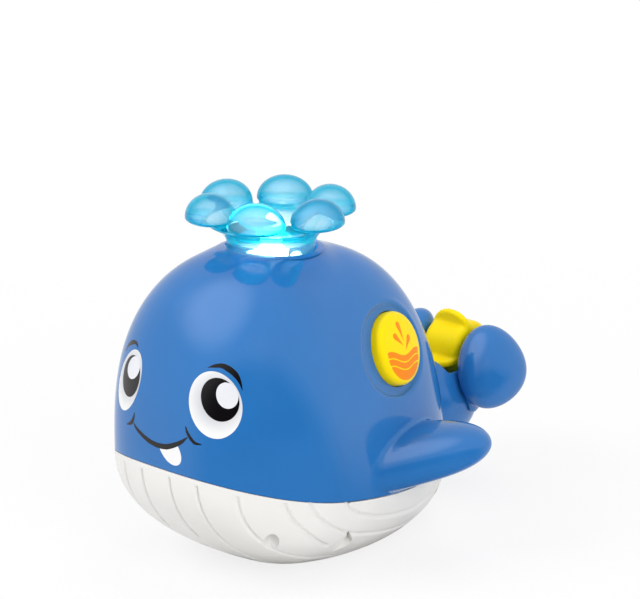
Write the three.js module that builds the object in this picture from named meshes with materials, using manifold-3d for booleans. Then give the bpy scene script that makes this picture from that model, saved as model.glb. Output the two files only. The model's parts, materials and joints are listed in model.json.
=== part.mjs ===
// Whale bath toy: a floating spray toy with a lit spout, a push button and a water wheel in its tail.
// Millimetres, +Z up. The nose points along -Y and the whale's left side is +X.
// Heights are measured from the seam beside the datum, and the finished toy is stood on its base at the end.
import * as THREE from "three";
import { mergeVertices } from "three/addons/utils/BufferGeometryUtils.js";
import Module from "manifold-3d";

const wasm = await Module();
wasm.setup();

// General
const CLEARANCE = 0.3;
const FAR = 200;
const WELD = 1e-4;
const HULL_COLUMNS = 24;
const HULL_ROWS = 7;

// Hull form
const BODY_HALF_WIDTH = 48.5;
const NOSE_REACH = 54.5;
const REAR_REACH = 88.5;
const NOSE_SQUARENESS = 2.37;
const REAR_SQUARENESS = 2.85;
const DOME_HEIGHT = 89.9;
const DOME_NOSE_SWELL = 2.73;
const DOME_NOSE_ROUND = 1.79;
const DOME_REAR_SWELL = 1.98;
const DOME_REAR_ROUND = 3.19;
const CROWN_LIFT = 1.8;
const CROWN_SPREAD = 24.2;
const BELLY_DEPTH = 35.7;
const BELLY_SWELL = 2.29;
const BELLY_ROUND = 2.09;
const BASE_FLAT = 2.8;
const SEAM_SLOPE = 0.225;
const SEAM_BOW = 0.0017;
const SEAM_GAP = 0.4;
const WALL = 2.4;
const GASKET_STEP = 1.4;
const GASKET_LEDGE = 1.2;

// Side fins
const FIN_ROOT = new THREE.Vector3(BODY_HALF_WIDTH - 10.5, 35, 5);
const FIN_TIP = new THREE.Vector3(BODY_HALF_WIDTH + 24.5, 55.6, 14.8);
const FIN_ROOT_HALF_CHORD = 22.4;
const FIN_TIP_HALF_CHORD = 12.6;
const FIN_ROOT_RISE = 12.5;
const FIN_TIP_RISE = 9.4;
const FIN_ROOT_DROP = 11.6;
const FIN_TIP_DROP = 8.2;
const FIN_BLUNTNESS = 5;

// Spout, on a vertical axis through the crown of the dome
const SPOUT_Y = 9.75;
const NECK_RADIUS = 17.2;
const NECK_WALL = 2.2;
const NECK_TOP = DOME_HEIGHT + 2;
const FLARE_RADIUS = 24.5;
const FLARE_TOP = DOME_HEIGHT + 8.9;
const FLARE_START_LIFT = 2.8;
const FLARE_START_REACH = 0.6;
const FLARE_END_DROP = 1.6;
const FLARE_END_REACH = 3.8;
const CUP_RADIUS = 17.5;
const CUP_RIM = DOME_HEIGHT + 11.6;
const CUP_FLOOR = DOME_HEIGHT + 4.6;
const CUP_FLOOR_RADIUS = 12.5;
const CUP_FLOOR_WALL = 2.2;
const FLANGE_RADIUS = 19;
const FLANGE_THICKNESS = 2.2;
const FLANGE_BOTTOM = DOME_HEIGHT - 12.2;
const COLLAR_RADIUS = 20;
const SPOUT_SEAL_THICKNESS = 0.8;
const LOBE_COUNT = 6;
const LOBE_RING = 25.5;
const LOBE_HEIGHT = DOME_HEIGHT + 11.4;
const LOBE_RADIAL = 10.2;
const LOBE_TANGENTIAL = 10.2;
const LOBE_RISE = 9;
const LOBE_DROP = 3;

// Nozzle and lamps under the spout
const NOZZLE_RADIUS = 4.2;
const NOZZLE_BORE = 1.5;
const NOZZLE_TOP = CUP_FLOOR + 2.5;
const NOZZLE_BARB_LENGTH = 8;
const NOZZLE_BARB_RADIUS = 3;
const NOZZLE_RIBS = 8;
const NOZZLE_RIB_REACH = 6.6;
const CARRIER_RADIUS = 24.2;
const CARRIER_THICKNESS = 2;
const CARRIER_SCREW_RING = 22;
const CARRIER_SCREW_RADIUS = 2;
const CARRIER_SCREW_HEAD = 1.4;
const CARRIER_SCREW_LENGTH = 5;
const PILLAR_RADIUS = 2.5;
const LAMP_BOARD_THICKNESS = 1.6;
const LAMP_COUNT = 3;
const LAMP_RING = 10.2;
const LAMP_RADIUS = 2.5;
const LAMP_LENGTH = 7;

// Push button, square to the dome at a bearing from the nose and a level between seam and crown
const BUTTON_BEARING = THREE.MathUtils.degToRad(111.8);
const BUTTON_LEVEL = 0.617;
const BUTTON_RADIUS = 14.5;
const BUTTON_RECESS_RADIUS = 17.8;
const BUTTON_FLOOR = -2.8;
const BUTTON_FLOOR_THICKNESS = 3;
const BUTTON_PROUD = 2.6;
const BUTTON_CROWN = 0.8;
const BUTTON_EDGE = 2.4;
const BUTTON_WALL = 1.8;
const BUTTON_FLANGE_RADIUS = 16.1;
const BUTTON_FLANGE = 1.5;
const BUTTON_TRAVEL = 2.2;
const BUTTON_STEM_RADIUS = 3;
const BUTTON_STEM_LENGTH = 9.4;
const GUIDE_WALL = 2.3;
const SPRING_RADIUS = 7;
const SPRING_WIRE = 0.6;
const SPRING_TURNS = 5;
const BUTTON_SEAL_THICKNESS = 0.8;
const RETAINER_THICKNESS = 2;
const RETAINER_LIP = 4;
const RETAINER_WALL = 1.6;
const RETAINER_HOLE = 4;
const SWITCH_SIZE = new THREE.Vector3(12.8, 6, 6.4);
const SWITCH_NUB_RADIUS = 1.2;

// Shell screws: how far out and how far along each one stands, and the height of its head seat
const SCREW_SIDE_SHARE = 0.74;
const SCREW_NOSE_SHARE = 0.541;
const SCREW_REAR_SHARE = 0.7175;
const NOSE_SCREW_SEAT = 1;
const REAR_SCREW_SEAT = -15;
const SHELL_SCREWS = [1, -1, 1, -1].map((side, turn) => ({
  side,
  x: SCREW_SIDE_SHARE * BODY_HALF_WIDTH,
  y: turn < 2 ? -SCREW_NOSE_SHARE * NOSE_REACH : SCREW_REAR_SHARE * REAR_REACH,
  seat: turn < 2 ? NOSE_SCREW_SEAT : REAR_SCREW_SEAT,
}));
const COLUMN_RADIUS = 4.4;
const SCREW_RECESS_RADIUS = 3.2;
const SCREW_HEAD_RADIUS = 2.8;
const SCREW_HEAD = 1.9;
const SCREW_RADIUS = 1.3;
const SHELL_SCREW_BITE = 9;
const BOSS_LENGTH = 14;

// Battery compartment
const CELL_RADIUS = 7.2;
const CELL_LENGTH = 49.2;
const CELL_NUB = 1.3;
const CELL_NUB_RADIUS = 2.75;
const CELL_PITCH = 15.7;
const CELL_COUNT = 3;
const CELL_AXIS_HEIGHT = -14;
const BAY_HALF_WIDTH = 24;
const BAY_LENGTH = 56;
const BAY_SHARE = 0.4;
const BAY_REAR = BAY_SHARE * (REAR_REACH - 1);
const BAY_FRONT = BAY_REAR - BAY_LENGTH;
const BAY_CORNER = 2.5;
const BOX_WALL = 1.8;
const BOX_ROOF = -5;
const DOOR_RIM = 9;
const DOOR_CORNER = 14;
const DOOR_GAP = 0.35;
const DOOR_GASKET_WIDTH = 2;
const DOOR_GASKET_THICKNESS = 1;
const LEDGE_THICKNESS = 2.2;
const LEDGE_OVERLAP = 3;
const DOOR_SCREW_INSET = 3.7;
const DOOR_SCREW_BITE = 6;
const DOOR_SCREW_SEAT = 1.6;
const DOOR_SCREW_HEAD = 1;
const DOOR_BOSS_WALL = 1.2;
const CONTACT_THICKNESS = 0.6;
const CONTACT_HEIGHT = 11;
const CONTACT_SINGLE_WIDTH = 11;

// Circuit board on top of the battery box
const BOARD_SIZE = new THREE.Vector3(44, 30, 1.6);
const BOARD_Y = BAY_REAR - 31;
const BOARD_POST_RADIUS = 2.2;
const BOARD_POST_HEIGHT = 3;
const BOARD_PIN_RADIUS = 1.1;
const BOARD_PIN_HEIGHT = 3;
const BOARD_POST_INSET = 4;
const CHIP_SIZE = new THREE.Vector3(10, 7, 2);
const CAPACITOR_RADIUS = 3;
const CAPACITOR_HEIGHT = 9;
const SOCKET_SIZE = new THREE.Vector3(12, 4, 5);

// Pump and motor, on a vertical axis behind the battery box
const PUMP_RADIUS = 14;
const PUMP_Y = BAY_REAR + DOOR_RIM + PUMP_RADIUS + CLEARANCE;
const PUMP_CHAMBER_RADIUS = 11.8;
const PUMP_TOP = -7;
const PUMP_BOTTOM = -17;
const PUMP_TOP_WALL = 2.3;
const PUMP_COVER_THICKNESS = 5.7;
const PORT_RADIUS = 3;
const PORT_BORE = 1.6;
const PORT_REACH = 20;
const OUTLET_OFFSET = -8;
const IMPELLER_RADIUS = 10.5;
const IMPELLER_DISC = 1.5;
const IMPELLER_BLADE_HEIGHT = 4.6;
const IMPELLER_BLADES = 6;
const IMPELLER_HUB_RADIUS = 3;
const SHAFT_RADIUS = 1;
const SHAFT_TOP = 14;
const MOTOR_RADIUS = 10;
const MOTOR_FLAT = 7.7;
const MOTOR_LENGTH = 25;
const BRACKET_WALL = 1.9;
const BRACKET_HEIGHT = 17;
const EAR_THICKNESS = 2.3;
const EAR_RADIUS = 4;
const PUMP_POST_RADIUS = 3.4;
const PUMP_POSTS = [new THREE.Vector2(13, -13), new THREE.Vector2(-13, 13)];
const PUMP_SCREW_BITE = 8;

// Water intake in the left side of the belly
const INTAKE_POINT = new THREE.Vector3(BODY_HALF_WIDTH - 5.5, 2, -19);
const INTAKE_AXIS = new THREE.Vector3(0.8, -0.13, -0.58).normalize();
const INTAKE_LENGTH = 13;
const INTAKE_HEIGHT = 8;
const INTAKE_DEPTH = 2.8;
const INTAKE_BOSS_RADIUS = 5;
const INTAKE_BOSS_LENGTH = 8;
const INTAKE_SLOT_LENGTH = 6.5;

// Tail
const TAIL_CENTRE = new THREE.Vector3(0, REAR_REACH + 19.5, 2);
const TAIL_HALF = new THREE.Vector3(17.5, 23, 19.5);
const TAIL_WALL = 2.2;
const TAIL_BOSS_HEIGHT = 5.5;
const TAIL_BOSS_RADIUS = 8;
const TAIL_BOSS_END = REAR_REACH - 7.5;
const TAIL_BOSS_WEB = 4;
const TAIL_BOSS_BORE = 5.4;
const TAIL_RETAINER_RADIUS = 11.4;
const TAIL_RETAINER_THICKNESS = 2.2;
const TAIL_SCREW_BITE = 9;
const WHEEL_Y = REAR_REACH + 36;
const WHEEL_HEIGHT = 22;
const WHEEL_RADIUS = 17.5;
const WHEEL_HALF_WIDTH = 10;
const WHEEL_EDGE = 8;
const WHEEL_BLADE = 3.2;
const WHEEL_LEAN = THREE.MathUtils.degToRad(14);
const DRUM_RADIUS = 12.3;
const DRUM_EDGE = 4;
const WHEEL_RUN_GAP = 1.6;
const WHEEL_END_GAP = 1;
const AXLE_RADIUS = 1.5;
const AXLE_SEAT = 7.5;
const AXLE_BOSS_RADIUS = 4;
const FLUKE_CENTRE = new THREE.Vector3(23.1, REAR_REACH + 32, 19.1);
const FLUKE_HALF_LENGTH = 15.5;
const FLUKE_HALF_HEIGHT = 17.5;
const FLUKE_HALF_THICKNESS = 9.5;
const FLUKE_EGG = -0.18;
const FLUKE_SPLAY = THREE.MathUtils.degToRad(30);
const FLUKE_PITCH = THREE.MathUtils.degToRad(-15);
const FLUKE_ROLL = THREE.MathUtils.degToRad(25);
const FLUKE_NECK_TARGET = new THREE.Vector3(6, REAR_REACH + 23.5, -6);
const FLUKE_NECK_RADIUS = 7;
const FLUKE_PEG_RADIUS = 3.2;
const FLUKE_PEG_BORE = 1.8;
const FLUKE_PEG_DEPTH = 24;

// Hoses and leads
const HOSE_RADIUS = 3;
const HOSE_LANE = BAY_HALF_WIDTH + BOX_WALL + HOSE_RADIUS + 3.2;
const INTAKE_HOSE_CREST = -8.5;
const INTAKE_HOSE_RUN = -11;
const INTAKE_HOSE_DIP = -16;
const OUTLET_HOSE_LANE = PORT_REACH + 9;
const OUTLET_HOSE_BACK = 9.5;
const LEAD_RADIUS = 1.2;
const LAMP_LEAD_X = 17.5;
const SWITCH_LEAD_X = 12;
const MOTOR_LEAD_X = 14;

// Colours
const BLUE = 0x3f7cc0;
const OFF_WHITE = 0xecebe8;
const YELLOW = 0xffdf00;
const AQUA = 0x2fbfe6;
const STEEL = 0xb8bcc0;
const RUBBER = 0x2b2b2d;
const GREEN_BOARD = 0x1f6b3c;
const GREY = 0x8d9196;
const WARM_WHITE = 0xfff3d6;
const COPPER = 0xb9863c;
const CLEAR_HOSE = 0xd9dde0;

// Geometry to solid and back
function signedVolume(positions, triangles) {
  const a = new THREE.Vector3();
  const b = new THREE.Vector3();
  const c = new THREE.Vector3();
  let volume = 0;
  for (let i = 0; i < triangles.length; i += 3) {
    a.fromArray(positions, 3 * triangles[i]);
    b.fromArray(positions, 3 * triangles[i + 1]);
    c.fromArray(positions, 3 * triangles[i + 2]);
    volume += a.dot(b.cross(c)) / 6;
  }
  return volume;
}

function toSolid(geometry) {
  const bare = new THREE.BufferGeometry();
  bare.setAttribute("position", geometry.getAttribute("position"));
  bare.setIndex(geometry.getIndex());
  const welded = mergeVertices(bare, WELD);
  const positions = new Float32Array(welded.getAttribute("position").array);
  const index = welded.getIndex().array;
  const triangles = [];
  for (let i = 0; i < index.length; i += 3) {
    const [a, b, c] = [index[i], index[i + 1], index[i + 2]];
    if (a !== b && b !== c && c !== a) triangles.push(a, b, c);
  }
  if (signedVolume(positions, triangles) < 0) triangles.reverse();
  const mesh = new wasm.Mesh({ numProp: 3, vertProperties: positions, triVerts: new Uint32Array(triangles) });
  return new wasm.Manifold(mesh);
}

function toGeometry(solid) {
  const mesh = solid.getMesh();
  const geometry = new THREE.BufferGeometry();
  geometry.setAttribute("position", new THREE.BufferAttribute(new Float32Array(mesh.vertProperties), 3));
  geometry.setIndex(new THREE.BufferAttribute(new Uint32Array(mesh.triVerts), 1));
  return geometry;
}

function fuse(...geometries) {
  return toGeometry(geometries.map(toSolid).reduce((sum, next) => sum.add(next)));
}

function cut(geometry, ...tools) {
  return toGeometry(tools.map(toSolid).reduce((rest, tool) => rest.subtract(tool), toSolid(geometry)));
}

function common(first, second) {
  return toGeometry(toSolid(first).intersect(toSolid(second)));
}

// Basic forms
function turned(profile, sides = 16) {
  const points = profile.map(([radius, height]) => new THREE.Vector2(radius, height));
  return new THREE.LatheGeometry(points, sides).rotateX(Math.PI / 2);
}

function rod(radius, low, high, sides = 16) {
  return turned([[0, low], [radius, low], [radius, high], [0, high]], sides);
}

function ring(inner, outer, low, high, sides = 24) {
  return turned([[inner, low], [outer, low], [outer, high], [inner, high], [inner, low]], sides);
}

function block(x, y, z, sizeX, sizeY, sizeZ) {
  return new THREE.BoxGeometry(sizeX, sizeY, sizeZ).translate(x, y, z);
}

function slab(shape, low, high, curveSegments = 2) {
  const options = { depth: high - low, bevelEnabled: false, curveSegments };
  return new THREE.ExtrudeGeometry(shape, options).translate(0, 0, low);
}

function roundedRectangle(halfWidth, front, rear, corner) {
  const shape = new THREE.Shape();
  shape.moveTo(-halfWidth + corner, front);
  shape.lineTo(halfWidth - corner, front);
  shape.absarc(halfWidth - corner, front + corner, corner, -Math.PI / 2, 0, false);
  shape.lineTo(halfWidth, rear - corner);
  shape.absarc(halfWidth - corner, rear - corner, corner, 0, Math.PI / 2, false);
  shape.lineTo(-halfWidth + corner, rear);
  shape.absarc(-halfWidth + corner, rear - corner, corner, Math.PI / 2, Math.PI, false);
  shape.lineTo(-halfWidth, front + corner);
  shape.absarc(-halfWidth + corner, front + corner, corner, Math.PI, Math.PI * 1.5, false);
  return shape;
}

// Turns a form that points up +Z so that it points along a direction from an origin.
function aimed(geometry, origin, direction) {
  const up = new THREE.Vector3(0, 0, 1);
  const turn = new THREE.Quaternion().setFromUnitVectors(up, direction.clone().normalize());
  return geometry.applyQuaternion(turn).translate(origin.x, origin.y, origin.z);
}

function mirrored(geometry) {
  return geometry.clone().scale(-1, 1, 1);
}

// Joins closed rings of points into a skin that ends in a point at each end.
function skin(rings, startPole, endPole) {
  const count = rings[0].length;
  const points = [startPole, ...rings.flat(), endPole];
  const index = [];
  const at = (row, column) => 1 + row * count + (column % count);
  const last = points.length - 1;
  for (let column = 0; column < count; column += 1) {
    index.push(0, at(0, column), at(0, column + 1));
    index.push(last, at(rings.length - 1, column + 1), at(rings.length - 1, column));
    for (let row = 0; row + 1 < rings.length; row += 1) {
      index.push(at(row, column), at(row + 1, column), at(row, column + 1));
      index.push(at(row, column + 1), at(row + 1, column), at(row + 1, column + 1));
    }
  }
  const geometry = new THREE.BufferGeometry().setFromPoints(points);
  geometry.setIndex(index);
  return geometry;
}

function tubeAlong(points, radius, bore, steps, sides = 3) {
  const section = new THREE.Shape().absarc(0, 0, radius, 0, Math.PI * 2, false);
  if (bore > 0) section.holes.push(new THREE.Path().absarc(0, 0, bore, 0, Math.PI * 2, true));
  const path = new THREE.CatmullRomCurve3(points);
  return new THREE.ExtrudeGeometry(section, { steps, extrudePath: path, curveSegments: sides });
}

function screw(headRadius, head, radius, length) {
  const shank = [[0, -length], [radius, -length], [radius, 0]];
  return turned([...shank, [headRadius, 0], [headRadius, head], [0, head]], 8);
}

// Hull form
const mix = THREE.MathUtils.lerp;
const crownTop = DOME_HEIGHT + CROWN_LIFT;

function signedPower(value, exponent) {
  return Math.sign(value) * Math.abs(value) ** exponent;
}

function seamHeight(y) {
  return -SEAM_SLOPE * y + SEAM_BOW * y * y;
}

// A point of the plan outline, at an angle from the nose towards the left side.
function planPoint(angle, inset) {
  const forward = Math.cos(angle);
  const squareness = forward >= 0 ? NOSE_SQUARENESS : REAR_SQUARENESS;
  const reach = (forward >= 0 ? NOSE_REACH : REAR_REACH) - inset;
  const x = (BODY_HALF_WIDTH - inset) * signedPower(Math.sin(angle), 2 / squareness);
  const y = -reach * signedPower(forward, 2 / squareness);
  return { x, y };
}

// A low swelling of the crown, on which the spout sits.
function crownLift(x, y) {
  return CROWN_LIFT * Math.exp(-((Math.hypot(x, y - SPOUT_Y) / CROWN_SPREAD) ** 4));
}

// A point of the dome, at a level from 0 at the seam to 1 at the crown.
function domePoint(angle, level, inset) {
  const plan = planPoint(angle, inset);
  const rear = (1 - Math.cos(angle)) / 2;
  const swell = mix(DOME_NOSE_SWELL, DOME_REAR_SWELL, rear);
  const round = mix(DOME_NOSE_ROUND, DOME_REAR_ROUND, rear);
  const shrink = (1 - level ** swell) ** (1 / round);
  const x = plan.x * shrink;
  const y = SPOUT_Y * (1 - shrink) + plan.y * shrink;
  const z = seamHeight(plan.y) * shrink + (DOME_HEIGHT - inset) * level;
  return new THREE.Vector3(x, y, z + crownLift(x, y));
}

// A point of the belly, at a level from 0 at the seam to 1 at the keel.
function bellyPoint(angle, level, inset) {
  const plan = planPoint(angle, inset);
  const shrink = (1 - level ** BELLY_SWELL) ** (1 / BELLY_ROUND);
  const z = seamHeight(plan.y) * shrink - (BELLY_DEPTH - inset) * level;
  return new THREE.Vector3(plan.x * shrink, plan.y * shrink, z);
}

function seamRing(inset, offset) {
  return Array.from({ length: HULL_COLUMNS }, (_, column) => {
    const plan = planPoint((column / HULL_COLUMNS) * 2 * Math.PI, inset);
    return new THREE.Vector3(plan.x, plan.y, seamHeight(plan.y) + offset);
  });
}

function seamPole(offset) {
  return new THREE.Vector3(0, SPOUT_Y, seamHeight(SPOUT_Y) + offset);
}

function hullRings(pointAt, inset) {
  return Array.from({ length: HULL_ROWS }, (_, row) =>
    Array.from({ length: HULL_COLUMNS }, (__, column) => {
      const level = Math.sin((row / HULL_ROWS) * (Math.PI / 2));
      return pointAt((column / HULL_COLUMNS) * 2 * Math.PI, level, inset);
    }),
  );
}

function domeSolid(inset, skirt = 0) {
  const rings = hullRings(domePoint, inset);
  if (skirt > 0) rings.unshift(seamRing(inset, -skirt));
  return skin(rings, seamPole(-skirt), new THREE.Vector3(0, SPOUT_Y, crownTop - inset));
}

const BASE_HEIGHT = -BELLY_DEPTH + BASE_FLAT;

function bellySolid(inset, skirt = 0) {
  const rings = hullRings(bellyPoint, inset);
  if (skirt > 0) rings.unshift(seamRing(inset, skirt));
  const bowl = skin(rings, seamPole(skirt), new THREE.Vector3(0, 0, -BELLY_DEPTH + inset));
  const below = block(0, 0, BASE_HEIGHT + inset - FAR / 2, FAR, 2 * FAR, FAR);
  return cut(bowl, below);
}

// A plug that fills the hull's plan, between two heights from the seam.
function seamPlug(inset, low, high) {
  return skin([seamRing(inset, low), seamRing(inset, high)], seamPole(low), seamPole(high));
}

function finSolid(inset, rings, sides) {
  const along = FIN_TIP.clone().sub(FIN_ROOT).normalize();
  const chord = new THREE.Vector3(0, 0, 1).cross(along).normalize();
  const rise = along.clone().cross(chord);
  const tip = FIN_TIP.clone().addScaledVector(along, -inset);
  const section = (share) => {
    const round = Math.sqrt(1 - share ** FIN_BLUNTNESS);
    const halfChord = (mix(FIN_ROOT_HALF_CHORD, FIN_TIP_HALF_CHORD, share) - inset) * round;
    const up = (mix(FIN_ROOT_RISE, FIN_TIP_RISE, share) - inset) * round;
    const down = (mix(FIN_ROOT_DROP, FIN_TIP_DROP, share) - inset) * round;
    const centre = FIN_ROOT.clone().lerp(tip, share);
    return Array.from({ length: sides }, (_, side) => {
      const angle = (side / sides) * 2 * Math.PI;
      const lift = Math.sin(angle) * (Math.sin(angle) > 0 ? up : down);
      return centre.clone().addScaledVector(chord, Math.cos(angle) * halfChord).addScaledVector(rise, lift);
    });
  };
  const rows = Array.from({ length: rings }, (_, row) => section(Math.sin((row / rings) * (Math.PI / 2))));
  return skin(rows, FIN_ROOT.clone(), tip);
}

// Scene graph
const toy = new THREE.Group();
const spoutGroup = new THREE.Group();
spoutGroup.position.set(0, SPOUT_Y, 0);
const buttonGroup = new THREE.Group();
const buttonCentre = domePoint(BUTTON_BEARING, BUTTON_LEVEL, 0);
const buttonAlong = domePoint(BUTTON_BEARING + 0.001, BUTTON_LEVEL, 0).sub(buttonCentre);
const buttonUp = domePoint(BUTTON_BEARING, BUTTON_LEVEL + 0.001, 0).sub(buttonCentre);
const buttonAxis = buttonAlong.clone().cross(buttonUp).normalize();
const buttonBack = new THREE.Vector3(0, 1, 0).projectOnPlane(buttonAxis).normalize();
const buttonDown = buttonBack.clone().cross(buttonAxis);
const buttonTurn = new THREE.Matrix4().makeBasis(buttonDown, buttonBack, buttonAxis);
buttonGroup.position.copy(buttonCentre);
buttonGroup.quaternion.setFromRotationMatrix(buttonTurn);
const pumpGroup = new THREE.Group();
pumpGroup.position.set(0, PUMP_Y, 0);
const wheelGroup = new THREE.Group();
wheelGroup.position.set(0, WHEEL_Y, WHEEL_HEIGHT);
toy.add(spoutGroup, buttonGroup, pumpGroup, wheelGroup);
toy.updateMatrixWorld(true);

function plastic(color, roughness = 0.3) {
  return new THREE.MeshStandardMaterial({ color, roughness, metalness: 0 });
}

function metal(color, roughness = 0.35) {
  return new THREE.MeshStandardMaterial({ color, roughness, metalness: 1 });
}

function piece(parent, name, geometry, material) {
  const mesh = new THREE.Mesh(toGeometry(toSolid(geometry)), material);
  mesh.name = name;
  parent.add(mesh);
}

// A tool or boss made in a group's own frame, carried over to the toy's frame.
function fromGroup(group, geometry) {
  return geometry.applyMatrix4(group.matrixWorld);
}

// Values that several pieces share
const guideBore = BUTTON_FLANGE_RADIUS + 2 * CLEARANCE;
const guideRadius = guideBore + GUIDE_WALL;
const buttonStop = BUTTON_FLOOR - BUTTON_FLOOR_THICKNESS;
const flangeTop = buttonStop - CLEARANCE;
const buttonRim = BUTTON_FLOOR + BUTTON_PROUD;
const buttonRoof = buttonRim - BUTTON_EDGE;
const stemEnd = buttonRoof - BUTTON_STEM_LENGTH;
const sealTop = stemEnd - BUTTON_TRAVEL - CLEARANCE;
const guideEnd = sealTop - BUTTON_SEAL_THICKNESS;
const retainerTop = guideEnd - CLEARANCE;
const collarBottom = FLANGE_BOTTOM + FLANGE_THICKNESS + SPOUT_SEAL_THICKNESS + 2 * CLEARANCE;
const carrierTop = FLANGE_BOTTOM - CLEARANCE;
const carrierBottom = carrierTop - CARRIER_THICKNESS;
const screwBore = SCREW_RADIUS + CLEARANCE;
const ledgeFace = WALL + DOOR_GASKET_THICKNESS + 2 * CLEARANCE;
const ledgeBack = ledgeFace + LEDGE_THICKNESS;
const doorShape = (grow) =>
  roundedRectangle(
    BAY_HALF_WIDTH + DOOR_RIM + grow,
    BAY_FRONT - DOOR_RIM - grow,
    BAY_REAR + DOOR_RIM + grow,
    DOOR_CORNER + grow,
  );
const bayShape = (grow) =>
  roundedRectangle(BAY_HALF_WIDTH + grow, BAY_FRONT - grow, BAY_REAR + grow, BAY_CORNER + grow);
const doorScrews = [BAY_FRONT - DOOR_RIM + DOOR_SCREW_INSET, BAY_REAR + DOOR_RIM - DOOR_SCREW_INSET];
const carrierScrews = Array.from({ length: LAMP_COUNT }, (_, turn) => {
  const angle = (turn / LAMP_COUNT) * 2 * Math.PI - Math.PI / 2;
  return new THREE.Vector2(Math.cos(angle), Math.sin(angle)).multiplyScalar(CARRIER_SCREW_RING);
});
const earTop = PUMP_TOP - CLEARANCE;
const earBottom = earTop - EAR_THICKNESS;
const postTop = earBottom - CLEARANCE;
const bracketBottom = PUMP_TOP + CLEARANCE;
const bracketTop = bracketBottom + EAR_THICKNESS;
const pumpScrewSeat = bracketTop + CLEARANCE;
const intakeEnd = INTAKE_POINT.clone().addScaledVector(INTAKE_AXIS, -INTAKE_BOSS_LENGTH);
const coverBottom = PUMP_BOTTOM - CLEARANCE - PUMP_COVER_THICKNESS;
const inletHeight = coverBottom + PORT_RADIUS;
const outletHeight = (PUMP_TOP - PUMP_TOP_WALL + PUMP_BOTTOM) / 2;

// Upper shell: dome and hollow fins, with the spout collar, button guide, tail hole and screw bosses
function upperShell() {
  const fin = finSolid(0, 6, 14);
  const finHollow = finSolid(WALL, 4, 8);
  const outside = fuse(domeSolid(0), fin, mirrored(fin));
  const hollow = [domeSolid(WALL, WALL), finHollow, mirrored(finHollow)];
  const shell = cut(outside, ...hollow);

  const within = domeSolid(CLEARANCE);
  const collar = fromGroup(spoutGroup, ring(NECK_RADIUS, COLLAR_RADIUS, collarBottom, crownTop, 22));
  const pillars = carrierScrews.map((at) =>
    fromGroup(spoutGroup, rod(PILLAR_RADIUS, FLANGE_BOTTOM, crownTop, 8).translate(at.x, at.y, 0)),
  );
  const bosses = SHELL_SCREWS.map(({ side, x, y }) => {
    const low = seamHeight(y) + CLEARANCE;
    return rod(COLUMN_RADIUS, low, low + BOSS_LENGTH, 8).translate(side * x, y, 0);
  });
  const inner = common(fuse(collar, ...pillars, ...bosses), within);
  const guide = fromGroup(buttonGroup, rod(guideRadius, guideEnd, BUTTON_FLOOR, 20));

  const spoutHole = fromGroup(spoutGroup, rod(NECK_RADIUS + CLEARANCE, collarBottom - 1, FAR, 22));
  const pillarBores = carrierScrews.map((at) =>
    fromGroup(spoutGroup, rod(screwBore, FLANGE_BOTTOM - 1, DOME_HEIGHT - 8, 6).translate(at.x, at.y, 0)),
  );
  const bossBores = SHELL_SCREWS.map(({ side, x, y }) => {
    const low = seamHeight(y);
    return rod(screwBore, low - 1, low + SHELL_SCREW_BITE + 2, 6).translate(side * x, y, 0);
  });
  const recess = fromGroup(buttonGroup, rod(BUTTON_RECESS_RADIUS, BUTTON_FLOOR, FAR / 4, 20));
  const bore = fromGroup(buttonGroup, rod(BUTTON_RADIUS + CLEARANCE, buttonStop - 1, 1, 20));
  const guideHollow = fromGroup(buttonGroup, rod(guideBore, guideEnd - 1, buttonStop, 20));
  const tailHole = aimed(
    rod(TAIL_BOSS_RADIUS + CLEARANCE, 0, REAR_REACH - TAIL_BOSS_END + WALL, 18),
    new THREE.Vector3(0, TAIL_BOSS_END, TAIL_BOSS_HEIGHT),
    new THREE.Vector3(0, 1, 0),
  );
  const holes = [spoutHole, ...pillarBores, ...bossBores, recess, bore, guideHollow, tailHole];
  return cut(fuse(shell, inner, guide), ...holes);
}

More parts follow.
